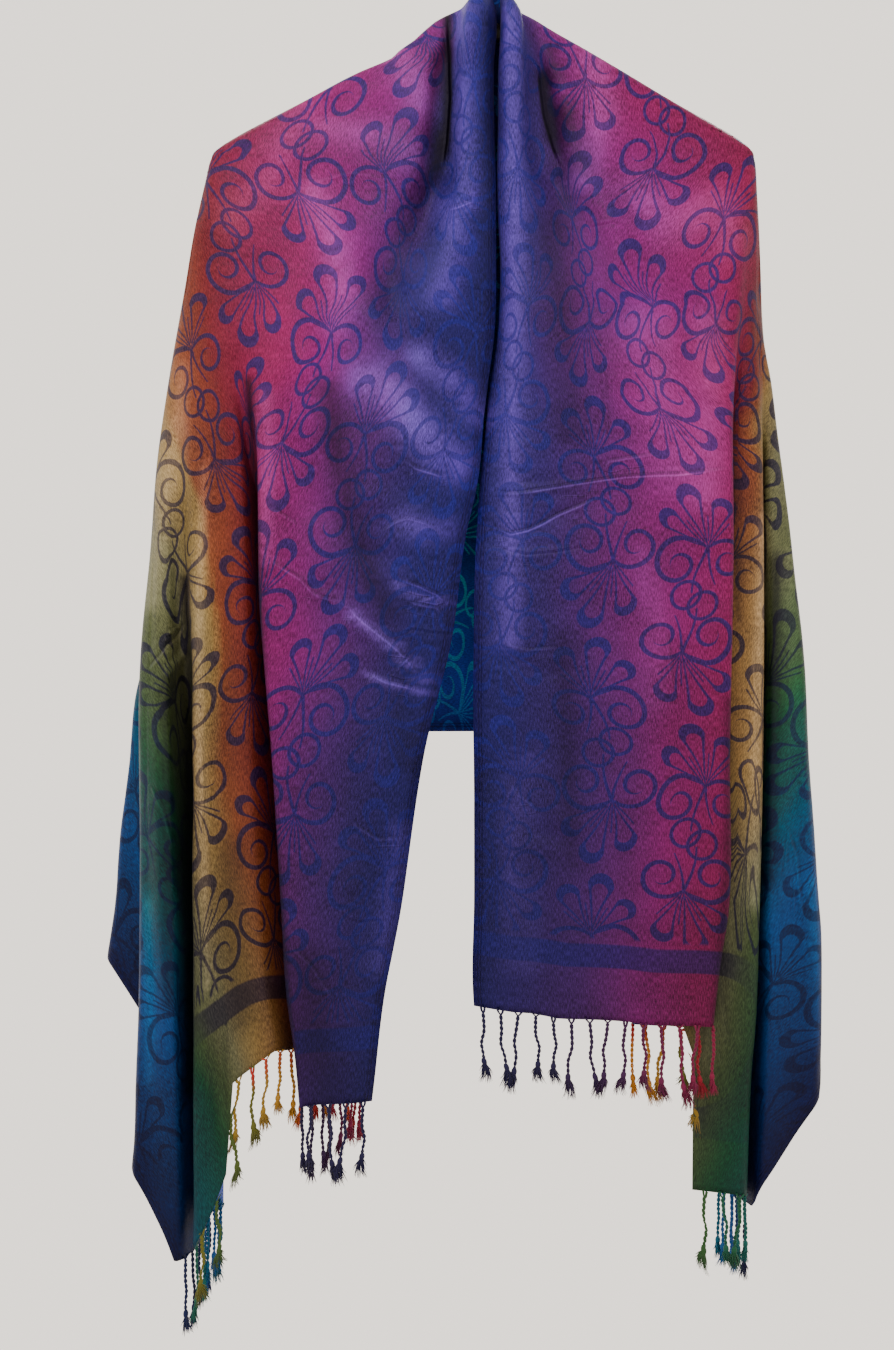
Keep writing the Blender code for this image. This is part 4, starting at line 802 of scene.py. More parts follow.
# Where the run of colours lies, at some levels below the apex: pairs of the share of the cloth's
# width and the place in the run, because the hidden folds take up cloth unevenly
dyes = {
    "left": [
        (70, [(0, 0.02), (0.04, 0.04), (0.085, 0.075), (0.105, 0.19), (0.16, 0.215), (0.24, 0.25), (1, 1)]),
        (130, [(0, 0.02), (0.04, 0.05), (0.085, 0.085), (0.11, 0.17), (0.16, 0.2), (0.24, 0.25), (1, 1)]),
        (235, [(0, 0), (0.08, 0.05), (0.13, 0.085), (0.16, 0.13), (0.22, 0.22), (0.32, 0.3), (1, 0.97)]),
        (314, [(0, 0), (0.08, 0.07), (0.14, 0.15), (0.19, 0.16), (0.3, 0.27), (0.41, 0.37), (1, 0.97)]),
        (393, [
            (0, 0), (0.13, 0.12), (0.26, 0.26), (0.45, 0.375), (0.5, 0.42), (0.51, 0.48), (0.55, 0.5),
            (1, 0.97)]),
        (511, [
            (0, 0.02), (0.08, 0.11), (0.13, 0.165), (0.19, 0.235), (0.23, 0.25), (0.47, 0.385),
            (0.5, 0.41), (0.52, 0.49), (0.62, 0.54), (0.68, 0.59), (0.79, 0.78), (1, 1)]),
        (690, [
            (0, 0.02), (0.06, 0.08), (0.13, 0.15), (0.19, 0.235), (0.23, 0.25), (0.45, 0.4),
            (0.5, 0.45), (0.6, 0.56), (0.67, 0.6), (0.81, 0.75), (0.93, 0.9), (1, 1)]),
        (790, [
            (0, 0.05), (0.06, 0.12), (0.13, 0.16), (0.19, 0.235), (0.23, 0.25), (0.45, 0.4),
            (0.5, 0.46), (0.6, 0.58), (0.67, 0.65), (0.81, 0.77), (0.93, 0.9), (1, 1)]),
        (860, [
            (0, 0.05), (0.13, 0.16), (0.23, 0.25), (0.45, 0.42), (0.53, 0.48), (0.565, 0.57),
            (0.6, 0.68), (0.7, 0.8), (0.93, 0.92), (1, 1)]),
    ],
    "right": [
        (77, [(0, 0.04), (0.085, 0.1), (0.12, 0.185), (0.155, 0.235), (0.23, 0.265), (0.38, 0.38), (1, 1)]),
        (155, [(0, 0.04), (0.09, 0.12), (0.19, 0.2), (0.265, 0.24), (0.34, 0.3), (0.37, 0.36), (1, 1)]),
        (235, [
            (0, 0.03), (0.05, 0.1), (0.115, 0.165), (0.205, 0.19), (0.29, 0.232), (0.355, 0.245),
            (0.42, 0.35), (0.46, 0.44), (1, 1)]),
        (314, [
            (0, 0.03), (0.09, 0.12), (0.16, 0.175), (0.205, 0.22), (0.295, 0.245), (0.33, 0.27),
            (0.46, 0.36), (0.5, 0.49), (1, 1)]),
        (430, [
            (0, 0.04), (0.085, 0.1), (0.13, 0.16), (0.18, 0.207), (0.225, 0.225), (0.29, 0.27),
            (0.38, 0.39), (0.475, 0.445), (0.53, 0.5), (0.65, 0.6), (1, 1)]),
        (511, [
            (0, 0.03), (0.09, 0.105), (0.13, 0.15), (0.18, 0.2), (0.225, 0.235), (0.29, 0.275),
            (0.39, 0.4), (0.53, 0.48), (0.58, 0.52), (0.65, 0.6), (0.7, 0.63), (1, 1)]),
        (590, [
            (0, 0.03), (0.09, 0.1), (0.14, 0.14), (0.18, 0.18), (0.22, 0.24), (0.29, 0.28),
            (0.41, 0.42), (0.55, 0.48), (0.58, 0.5), (0.66, 0.64), (0.75, 0.71), (0.78, 0.76),
            (1, 1)]),
        (748, [
            (0, 0.05), (0.14, 0.155), (0.21, 0.23), (0.29, 0.3), (0.43, 0.36), (0.56, 0.52),
            (0.62, 0.64), (1, 1)]),
    ],
}


def alongRoute(route, across, below):  # distance to a route, signed distance and share gone
    route = np.array(route, float)
    nearest = np.full(across.shape, 1e9)
    signed, gone = np.zeros_like(across), np.zeros_like(across)
    lengths = np.linalg.norm(np.diff(route, axis=0), axis=1)
    before = 0.0
    for (x0, y0), (x1, y1), length in zip(route, route[1:], lengths):
        dx, dy = (x1 - x0) / length, (y1 - y0) / length
        along = np.clip((across - x0) * dx + (below - y0) * dy, 0, length)
        gapX, gapY = across - x0 - along * dx, below - y0 - along * dy
        gap = np.hypot(gapX, gapY)
        closer = gap < nearest
        nearest = np.where(closer, gap, nearest)
        signed = np.where(closer, gapX * dy - gapY * dx, signed)
        gone = np.where(closer, (before + along) / lengths.sum(), gone)
        before += length
    return nearest, signed, gone


def creaseHeight(side, across, below):  # how far the creases lift the cloth at each place
    height = np.zeros_like(across)
    for tall, wide, route in creases[side]:
        nearest, signed, gone = alongRoute(route, across, below)
        fade = np.clip(np.minimum(gone, 1 - gone) * 5, 0.15, 1)
        fade *= np.exp(-np.maximum(nearest - wide * 3, 0))
        beside = np.exp(-((signed - 1.9 * wide) / wide) ** 2)  # a shallower trough along one side
        swell = 1.35 * np.exp(-(signed / wide) ** 2) - 0.6 * beside
        height += tall * fade * swell * np.exp(-np.maximum(nearest - np.abs(signed), 0) / wide)
    return height


def finePress(side, across, below):  # millimetres to the nearest fine crease, and its strength
    far, strength = np.full(across.shape, 9.0), np.zeros_like(across)
    for tall, route in fineCreases[side]:
        nearest, signed, gone = alongRoute(route, across, below)
        reach = 4.5 if tall > -2 else 9.0  # the slits of painted shade are wider
        power = tall * np.clip(np.minimum(gone, 1 - gone) * 5, 0, 1) * np.clip(1.9 - nearest / reach, 0, 1)
        stronger = np.abs(power) > np.abs(strength)
        far = np.where(stronger, signed, far)
        strength = np.where(stronger, power, strength)
    return far, strength


def paintedStrokeShare(strokes, across, below):  # the share that soft strokes cover, for the painted highlights and for the painted shade
    left = np.ones_like(across)
    for power, wide, route in strokes:
        nearest = alongRoute(route, across, below)[0]
        left *= 1 - power * np.exp(-(nearest / wide) ** 2)
    return 1 - left


def dyePlace(half, u, below):  # where each point lies in the run of colours, from 0 to 1
    share = u / clothSizes["width"]
    rows = dyes[half.name]
    levels = [level for level, _ in rows]
    found = np.zeros_like(u)
    for (_, stops), own in zip(rows, np.eye(len(rows))):  # each level's run fades into the next
        found += np.interp(share, *np.array(stops).T) * np.interp(below, levels, own)
    return found


def lifts(half, t, across, below, u, s):  # millimetres that each point moves off the section
    front = (t < half.outline)[:, None]
    # The hidden tuck and the recess beside it stay as they are, and the outline almost so
    tuck = [line.name for line in half.lines].index("front tuck")
    openness = np.clip((tuck - 1.2 - t) / 0.5, 0, 1) + np.clip((t - tuck - 2.5) / 1, 0, 1)
    openness *= np.where((t > half.outline - 1) & (t <= half.outline + 1.5), 0.4, 1)
    neck = np.clip((below - 60) / 80, 0, 1)
    press = np.where(front, *(creaseHeight(side, across, below) for side in ("front", "back")))
    slow = (  # waves of 8 to 33 centimetres
        np.sin(u * 0.047 + 1.3 * np.sin(s * 0.011)) * np.sin(s * 0.019 + 0.9)
        + 0.6 * np.sin(u * 0.083 - s * 0.031 + 2.0) + 0.5 * np.sin(u * 0.021 + s * 0.057)
    )
    return (press + clothSizes["ripple"] * slow) * openness[:, None] * neck


def fromEnd(half, t, across, depth, below):  # how far each point is from the cloth's fringed end
    columns = int(np.searchsorted(t, cornerIndex(half))) + 1
    beside, past = 26, 12  # columns of the end to measure to, and columns past the corner
    points = np.stack([across, depth, below], axis=2)
    far = np.full(across.shape, 500.0)
    for column in range(columns + past):
        near = slice(max(0, column - beside), min(columns, column + beside + 1))
        ends = points[near, -1]
        gap = np.linalg.norm(points[column, :, None] - ends[None], axis=2)
        far[column] = np.minimum(far[column], gap.min(axis=1))
    return far


def clothMaps(half, t, across, depth, below, u, s):  # what the materials read, a pair of values each
    front = (t < half.outline)[:, None]
    toEnd = fromEnd(half, t, across, depth, below)
    presses = [finePress(side, across, below) for side in ("front", "back")]
    far, power = (np.where(front, *pair) for pair in zip(*presses))
    # the shares of painted highlight and painted shade, on the front and on the back
    paintedShine, paintedShadow = (
        np.where(front, *(paintedStrokeShare(strokes[side], across, below) for side in ("front", "back")))
        for strokes in (paintedHighlights, paintedShades)
    )
    paintedShadeTowardsFringe = 0.4 * np.clip((s - 420) / 460, 0, 1)  # painted shade: darker towards the fringe, where less light reaches
    paintedShadow = 1 - (1 - paintedShadow) * (1 - paintedShadeTowardsFringe)
    handed = -1 if half.name == "left" else 1
    return {
        "clothUv": (u * mm, handed * s * mm),
        "dyeAndEnd": (dyePlace(half, u, below), toEnd * mm),
        "press": (far * mm, power),
        # the shares of painted highlight and painted shade
        "wash": (paintedShine, paintedShadow),
    }


def clothGrid(bm, columns, rows):  # a flat grid, with its vertices by column and row
    bmesh.ops.create_grid(bm, x_segments=columns - 1, y_segments=rows - 1, size=1)
    grid = {}
    for vert in bm.verts:
        column = round((vert.co.x + 1) / 2 * (columns - 1))
        row = round((1 - vert.co.y) / 2 * (rows - 1))
        grid[column, row] = vert
    return grid


def addWall(piece):  # the cloth's thickness, with the hems that are rolled thicker
    group = piece.vertex_groups.new(name="hem")
    values = np.zeros(len(piece.data.vertices), np.float32)
    piece.data.attributes["hem"].data.foreach_get("value", values)
    for vert, value in enumerate(values):
        if value > 0:
            group.add([vert], float(value), "REPLACE")
    wall = piece.modifiers.new("thickness", "SOLIDIFY")
    wall.thickness = clothSizes["hemThickness"] * mm
    wall.offset = 0
    wall.vertex_group = "hem"
    wall.thickness_vertex_group = clothSizes["clothShare"]
    wall.material_offset = 1
    wall.material_offset_rim = 2


def makeCloth(half, materials):  # one half of the scarf, and the places along its end
    t, across, depth, below, flat = halfSurface(half)
    u, s = woven(half, t, below, flat)
    rise = lifts(half, t, across, below, u, s)
    maps = clothMaps(half, t, across, depth, below, u, s)
    columns, rows = across.shape
    bm = bmesh.new()
    hem = bm.verts.layers.float.new("hem")
    layers = [(bm.loops.layers.uv.new(name), *pair) for name, pair in maps.items()]
    grid = clothGrid(bm, columns, rows)
    for (column, row), vert in grid.items():
        vert.co = place(across[column, row], depth[column, row], below[column, row])
        for loop in vert.link_loops:
            for layer, first, second in layers:
                loop[layer].uv = (first[column, row], second[column, row])
    # The front and the back are one cloth along the crest
    joined = {grid[columns - 1 - k, 0]: grid[k, 0] for k in range(1, columns // 2)}
    bmesh.ops.weld_verts(bm, targetmap=joined)
    for k in range(1, columns // 2):
        grid[columns - 1 - k, 0] = grid[k, 0]
    bm.normal_update()
    if grid[6, rows // 2].normal.y > 0:
        bmesh.ops.reverse_faces(bm, faces=bm.faces)
        bm.normal_update()
    moved = {}
    for (column, row), vert in grid.items():
        moved[vert] = vert.normal * (rise[column, row] * mm)
        edge = min(u[column, row], clothSizes["width"] - u[column, row])
        thick = (clothSizes["hemWidth"] - edge) / clothSizes["hemThins"]
        vert[hem] = min(1.0, max(0.0, thick))
    for vert, step in moved.items():
        vert.co += step
    ends = [(t[k], grid[k, rows - 1].co.copy(), u[k, -1]) for k in range(columns // 2 + 1)]
    piece = finishedPiece(bm, f"scarf_{half.name}", materials)
    addWall(piece)
    print(piece.name, columns, "columns", rows, "rows", (columns - 1) * (rows - 1) * 4, "triangles")
    return piece, ends


def finishedPiece(bm, name, materials):  # from a bmesh to an object of the scene
    mesh = bpy.data.meshes.new(name)
    bm.to_mesh(mesh)
    bm.free()
    for material in materials:
        mesh.materials.append(material)
    mesh.shade_smooth()
    piece = bpy.data.objects.new(name, mesh)
    bpy.context.scene.collection.objects.link(piece)
    return piece


# Fringe: twisted two-ply cords, each with a knot and a frayed tuft, in millimetres
fringeSizes = {
    "kinds": 4,                # cords that are made once and repeated
    "length": 58.0,
    "spacing": 14.0,
    "plyRadius": 0.95,
    "plyApart": 0.75,
    "plyRings": 30,
    "twist": 8.0,              # of cord for one turn of its plies
    "rootInside": 1.2,         # how far a cord begins inside the cloth,
    "rootApart": 2.6,          # how far its plies stand apart there,
    "rootLong": 5.0,           # and where they come together
    "knotAt": 0.73,            # as a share of the length
    "knotRadius": 2.7,
    "knotShape": (0.85, 0.8, 1.25),
    "hairs": 40,
    "hairRadius": 0.55,
    "hairCurl": 0.7,
    "splay": (1.6, 4.6),       # how far every hair stands out at its end, and some still more
    "tangle": 6.0,             # how far two neighbours lean to each other
    "sway": 1.8,
    "wave": 1.3,
    "crinkle": 0.35,
}


def bentTube(bm, sides, rings, radiusAt, centreAt):  # a grid rolled into a tube along a path
    made = bmesh.ops.create_grid(bm, x_segments=sides, y_segments=rings, size=1)["verts"]
    for vert in made:
        angle = (vert.co.x + 1) * math.pi
        share = (1 - vert.co.y) / 2
        radius = radiusAt(share)
        spoke = Vector((math.cos(angle) * radius, math.sin(angle) * radius, 0))
        vert.co = Vector(centreAt(share)) + spoke
    bmesh.ops.remove_doubles(bm, verts=made, dist=1e-4)


def cordTemplate(number):  # one straight cord in millimetres, hanging from the origin
    sizes = fringeSizes
    bm = bmesh.new()
    knotDown = sizes["length"] * sizes["knotAt"]
    for ply in (0, 1):
        def centre(share, ply=ply):
            down = share * knotDown
            turn = 2 * math.pi * down / sizes["twist"] + math.pi * ply + number
            root = max(0.0, 1 - down / sizes["rootLong"]) ** 1.5
            spread = sizes["rootApart"] * root * (1 if ply else -1)
            return (
                sizes["plyApart"] * math.cos(turn) + spread,
                sizes["plyApart"] * math.sin(turn), sizes["rootInside"] - down,
            )

        bentTube(
            bm, 6, sizes["plyRings"],
            lambda share: sizes["plyRadius"] * (1 - 0.25 * share), centre,
        )
    knot = bmesh.ops.create_icosphere(bm, subdivisions=2, radius=sizes["knotRadius"])["verts"]
    bmesh.ops.scale(bm, verts=knot, vec=sizes["knotShape"])
    bmesh.ops.translate(bm, verts=knot, vec=(0, 0, -knotDown))
    tail = sizes["length"] * (1 - sizes["knotAt"])
    leastSplay, moreSplay = sizes["splay"]
    for hair in range(sizes["hairs"]):
        angle = 2.4 * hair + number
        splay = leastSplay + moreSplay * abs(math.sin(3.7 * hair + number))
        reach = tail * (0.72 + 0.28 * math.sin(1.9 * hair + 2 * number))

        def path(share, angle=angle, splay=splay, reach=reach):
            out = 0.5 + splay * share ** 1.4
            curl = sizes["hairCurl"] * math.sin(5 * share + angle)
            return (
                out * math.cos(angle) + curl, out * math.sin(angle) * 0.6 + curl * 0.4,
                -knotDown - 0.6 - reach * share,
            )

        bentTube(bm, 3, 4, lambda share: sizes["hairRadius"] * (1 - share) ** 0.6 + 0.1, path)
    bmesh.ops.recalc_face_normals(bm, faces=bm.faces)
    mesh = bpy.data.meshes.new(f"cord_{number}")
    bm.to_mesh(mesh)
    bm.free()
    return mesh


def fringeSpots(half, ends):  # where the cords hang: a point, a heading and the place across
    corner = cornerIndex(half)
    edge = [(point, u) for t, point, u in ends if t <= corner]
    steps = [(b[0] - a[0]).length for a, b in zip(edge, edge[1:])]
    gone = np.concatenate([[0], np.cumsum(steps)])
    spacing = fringeSizes["spacing"]
    spots = []
    for along in np.arange(spacing / 2, gone[-1] / mm - 3, spacing):
        k = min(int(np.searchsorted(gone, along * mm)), len(edge) - 1)
        share = (along * mm - gone[k - 1]) / max(gone[k] - gone[k - 1], 1e-9)
        point = edge[k - 1][0].lerp(edge[k][0], share)
        heading = (edge[min(k + 2, len(edge) - 1)][0] - edge[max(k - 3, 0)][0]).normalized()
        apart = [(point - other) / mm for other, _, _ in spots]
        if any(abs(gap.y) < 4.0 and abs(gap.x) < 6.0 for gap in apart):
            continue  # a cord hangs there already, from the fold in front
        spots.append((point, heading, edge[k - 1][1] * (1 - share) + edge[k][1] * share))
    return spots


def hungCord(verts, count, point, heading):  # leans, sways and waves a cord, and hangs it up
    sizes = fringeSizes
    lean = 2.6 * math.sin(2.1 * count + 0.6) + 1.4 * math.sin(0.7 * count)
    if count % 5 in (1, 2):  # some neighbours hang together and their tufts tangle
        lean = sizes["tangle"] if count % 5 == 1 else -sizes["tangle"]
    sway = sizes["sway"] * math.sin(1.7 * count + 0.4)
    size = 1 + 0.09 * math.sin(1.3 * count) + 0.05 * math.sin(4.1 * count)
    outward = Vector((heading.y, -heading.x, 0))
    if outward.y > 0:
        outward.negate()
    flat = Vector((heading.x, heading.y, 0)).normalized()
    phase = 1.1 * count
    for vert in verts:
        x, y, z = vert.co
        down = max(0.0, -z) / sizes["length"]
        wave = sizes["wave"] * math.sin(9 * down + phase) * min(1.0, down * 4)
        wave += sizes["crinkle"] * math.sin(23 * down + phase)
        across = x + lean * down ** 1.3 + wave * min(1.0, down * 5)
        away = y + 0.5 * math.sin(6 * down + 2 * phase) + sway * down ** 2
        vert.co = point + flat * (across * mm) + outward * (away * mm)
        vert.co.z = point.z + z * size * mm + heading.z * x * mm


def makeFringe(half, ends, material):  # the cords of one half's end
    templates = [cordTemplate(number) for number in range(fringeSizes["kinds"])]
    bm = bmesh.new()
    uvLayer = bm.loops.layers.uv.new("clothUv")
    spots = fringeSpots(half, ends)
    for count, (point, heading, u) in enumerate(spots):
        start = len(bm.verts)
        bm.from_mesh(templates[count % len(templates)])
        bm.verts.ensure_lookup_table()
        cord = bm.verts[start:]
        hungCord(cord, count, point, heading)
        for vert in cord:
            down = (point.z - vert.co.z) / (fringeSizes["length"] * mm)
            for loop in vert.link_loops:
                loop[uvLayer].uv = (u * mm, down + 10 * (count % 7))
    for template in templates:
        bpy.data.meshes.remove(template)
    piece = finishedPiece(bm, f"fringe_{half.name}", [material])
    triangles = sum(len(p.vertices) - 2 for p in piece.data.polygons)
    print(piece.name, len(spots), "cords", triangles, "triangles")
    return piece


class Shade:  # a number, colour or vector on its way through a material
    def __init__(self, tree, socket=None):
        self.tree, self.socket = tree, socket

    def node(self, kind, settings=None, inputs=None, output=0):
        made = self.tree.nodes.new(kind)
        for name, value in (settings or {}).items():
            if name == "stops":
                stops = made.color_ramp.elements
                while len(stops) < len(value):
                    stops.new(0.5)
                for stop, (position, colour) in zip(stops, value):
                    stop.position, stop.color = position, colour
            else:
                setattr(made, name, value)
        for name, value in (inputs or {}).items():
            if isinstance(value, Shade):
                self.tree.links.new(value.socket, made.inputs[name])
            else:
                made.inputs[name].default_value = value
        return Shade(self.tree, made.outputs[output])

    def maths(self, operation, *others):  # one Math node of self and the others
        values = dict(enumerate((self, *others)))
        return self.node("ShaderNodeMath", {"operation": operation}, values)

    def __add__(self, other):
        return self.maths("ADD", other)

    def __sub__(self, other):
        return self.maths("SUBTRACT", other)

    def __rsub__(self, other):
        return self.maths("MULTIPLY_ADD", -1.0, other)

    def __mul__(self, other):
        return self.maths("MULTIPLY", other)

    def __truediv__(self, other):
        return self.maths("DIVIDE", other)

    def __pow__(self, other):
        return self.maths("POWER", other)

    def __abs__(self):
        return self.maths("ABSOLUTE")

    __radd__, __rmul__ = __add__, __mul__

    def smaller(self, other):
        return self.maths("MINIMUM", other)

    def larger(self, other):
        return self.maths("MAXIMUM", other)

    def within(self, low, high):
        return self.larger(low).smaller(high)

    def rise(self, low, high):  # from 0 to 1 between two values, softly
        settings = {"interpolation_type": "SMOOTHSTEP"}
        return self.node("ShaderNodeMapRange", settings, {0: self, 1: low, 2: high})

    def ramp(self, stops):
        table = [(position, hexColour(colour)) for position, colour in stops]
        return self.node("ShaderNodeValToRGB", {"stops": table}, {0: self})

    def blend(self, first, second):  # self is the share of the second colour
        return self.node("ShaderNodeMix", {"data_type": "RGBA"}, {0: self, 6: first, 7: second}, 2)

    def toned(self, tone):  # self is a colour, made darker or lighter by a number
        grey = self.node("ShaderNodeCombineXYZ", None, {0: tone, 1: tone, 2: tone})
        settings = {"data_type": "RGBA", "blend_type": "MULTIPLY"}
        return self.node("ShaderNodeMix", settings, {0: 1.0, 6: self, 7: grey}, 2)

    def part(self, index):
        return self.node("ShaderNodeSeparateXYZ", None, {0: self}, index)

    def noise(self, scale, detail=2.0, rough=0.5):
        return self.node("ShaderNodeTexNoise", None, {
            "Vector": self, "Scale": scale, "Detail": detail, "Roughness": rough})

    def stretched(self, x, y, z=1.0):
        return self.node(
            "ShaderNodeVectorMath", {"operation": "MULTIPLY"}, {0: self, 1: (x, y, z)})


def hexColour(text):  # a screen colour as the linear one that a socket takes
    values = [int(text[i:i + 2], 16) / 255 for i in (0, 2, 4)]
    linear = [v / 12.92 if v <= 0.04045 else ((v + 0.055) / 1.055) ** 2.4 for v in values]
    return (*linear, 1)


def newMaterial(name, uvName=None):  # its shader, and the coordinates that its patterns use
    material = bpy.data.materials.new(name)
    material.use_nodes = True
    tree = material.node_tree
    shader = tree.nodes["Principled BSDF"]
    start = Shade(tree)
    if uvName:
        where = start.node("ShaderNodeUVMap", {"uv_map": uvName})
    else:
        where = start.node("ShaderNodeTexCoord", None, None, 3)
    return material, shader, where


def feed(shader, **sockets):  # links or sets its sockets, with _ for a space in their names
    for name, value in sockets.items():
        socket = shader.inputs[name.replace("_", " ")]
        if isinstance(value, Shade):
            value.tree.links.new(value.socket, socket)
        else:
            socket.default_value = value


def bumped(height, strength, distance):  # a normal from a height
    return height.node("ShaderNodeBump", None, {
        "Strength": strength, "Distance": distance, "Height": height})


# The scroll pattern, in millimetres: a fan of three loops on a forked stem with two curls, and
# a pair of linked rings. It turns half round in the lower half of each repeat.
scroll = {
    "wide": 72.0,
    "tall": 196.0,
    "drop": 0.37,              # every other column lies lower by this share of a repeat
    "sway": 5.0,
    "pull": 16.0,              # how far the weave pulls the pattern out of true
    "fan": {
        "at": (-4.5, 43.0), "points": 77, "apart": 39, "long": 42.0, "round": 10.2,
        "smaller": 0.17,       # the loops at the sides are smaller by this share
        "hollowFrom": 8.0, "hollowLess": 12.5, "hollowRound": 0.62,
        "lines": (5.0, 27.0),  # where the fine lines between the loops begin and end
    },
    "stem": {"sway": 8.0, "halfWave": 60.0, "forkBends": 0.009, "from": 6.0, "forkFrom": 12.0},
    "curlLine": (1.05, 0.055),  # half the width of a curl's line, and how much it swells outwards
    "curls": [
        # centre, inner and outer radius, growth in one turn, heading of the outer end, handed
        {"at": (-20.5, 30.0), "inner": 6.5, "outer": 20.6, "growth": 2.9, "ends": 39, "handed": -1},
        {"at": (17.0, 29.0), "inner": 6.5, "outer": 25.5, "growth": 2.9, "ends": 147, "handed": 1},
    ],
    "ring": {"at": (7.0, 4.5), "radius": 11.0, "width": 2.7},
}


def scrollFan(x, y, fan):  # distance to the ink of three loops, with fine lines between them
    dx, dy = x - fan["at"][0], y - fan["at"][1]
    turn = math.radians(fan["points"])
    ahead = dx * math.cos(turn) + dy * math.sin(turn)
    aside = dy * math.cos(turn) - dx * math.sin(turn)
    reach = (ahead * ahead + aside * aside).maths("SQRT")
    angle = aside.maths("ARCTAN2", ahead)
    step = math.radians(fan["apart"])
    loop = (angle / step).maths("ROUND").within(-1, 1)
    left = angle - loop * step
    size = 1 + abs(loop) * fan["smaller"]
    along = reach * left.maths("COSINE") * size
    off = reach * left.maths("SINE") * size

    def drop(start, long, wide, power):
        axis = (along - start).within(0, long)
        gap = along - start - axis
        radius = (axis / long) ** power * wide
        return (gap * gap + off * off).maths("SQRT") - radius

    outer = drop(0, fan["long"], fan["round"], 1.5) - 0.4
    hollow = drop(
        fan["hollowFrom"], fan["long"] - fan["hollowLess"], fan["round"] * fan["hollowRound"], 1.35)
    loops = outer.larger(0.3 - hollow)
    between = abs(left) - step / 2
    line = reach * abs(between.maths("SINE")) - 0.55
    starts, ends = fan["lines"]
    return loops.smaller(line.larger(reach - ends).larger(starts - reach))


def scrollCurl(x, y, curl):  # distance to the ink of a spiral that ends at the fan's base
    dx, dy = x - curl["at"][0], y - curl["at"][1]
    square = dx * dx + dy * dy + 0.01
    reach = square.maths("SQRT")
    turns = square.maths("LOGARITHM", curl["growth"]) * 0.5
    angle = (dy * curl["handed"]).maths("ARCTAN2", dx) / (2 * math.pi)
    shift = math.log(curl["outer"], curl["growth"]) - curl["handed"] * curl["ends"] / 360
    nearest = abs((turns - angle - shift).maths("WRAP", 0.5, -0.5))
    thin, swells = scroll["curlLine"]
    width = (reach * swells + thin).smaller((curl["outer"] + 1.5 - reach) * 0.5)
    line = nearest * reach * math.log(curl["growth"]) - width
    return line.larger(curl["inner"] - reach).larger(reach - curl["outer"])


def scrollStem(x, y, stem, base):  # distance to the ink of the stem and of its thinner fork
    below = base[1] - y
    sway = (below * (math.pi / stem["halfWave"])).maths("SINE") * stem["sway"]
    main = abs(x - base[0] - sway) - 0.5 - y * 0.022
    fork = abs(x - base[0] + below * below * stem["forkBends"]) - 0.3 - y * 0.02
    return main.larger(stem["from"] - y).smaller(fork.larger(stem["forkFrom"] - y)).larger(0 - below)


def scrollRing(x, y, ring, side):  # distance to the ink of one of the linked rings
    dx, dy = x - ring["at"][0] * side, y - ring["at"][1] * side
    return abs((dx * dx + dy * dy).maths("SQRT") - ring["radius"]) - ring["width"] / 2


def scrollInk(where):  # 1 on the pattern's ink, 0 on the ground
    pull = where.node("ShaderNodeTexNoise", None, {"Vector": where, "Scale": 9.0, "Detail": 1.0}, 1)
    pulled = where.node(
        "ShaderNodeVectorMath", {"operation": "MULTIPLY_ADD"},
        {0: pull, 1: (scroll["pull"] * mm, scroll["pull"] * mm, 0), 2: where},
    )
    x, y = pulled.part(0) * 1000, pulled.part(1) * 1000
    wide, tall = scroll["wide"], scroll["tall"]
    x = x + (y * (2 * math.pi / tall)).maths("SINE") * scroll["sway"]
    column = (x / wide).maths("FLOOR")
    odd = abs(column.maths("WRAP", 1.5, -0.5))
    x = x.maths("PINGPONG", wide) - wide / 2
    y = (y + odd * (tall * scroll["drop"])).maths("WRAP", tall / 2, -tall / 2)
    side = y.maths("SIGN")
    x, y = x * side, abs(y)
    ink = scrollFan(x, y, scroll["fan"])
    ink = ink.smaller(scrollStem(x, y, scroll["stem"], scroll["fan"]["at"]))
    for curl in scroll["curls"]:
        ink = ink.smaller(scrollCurl(x, y, curl))
    for side in (1, -1):
        ink = ink.smaller(scrollRing(x, y, scroll["ring"], side))
    frayed = where.stretched(900, 500).noise(1.0, 1.0)
    return 1 - (ink + (frayed - 0.5) * 0.9).rise(-0.35, 0.45)


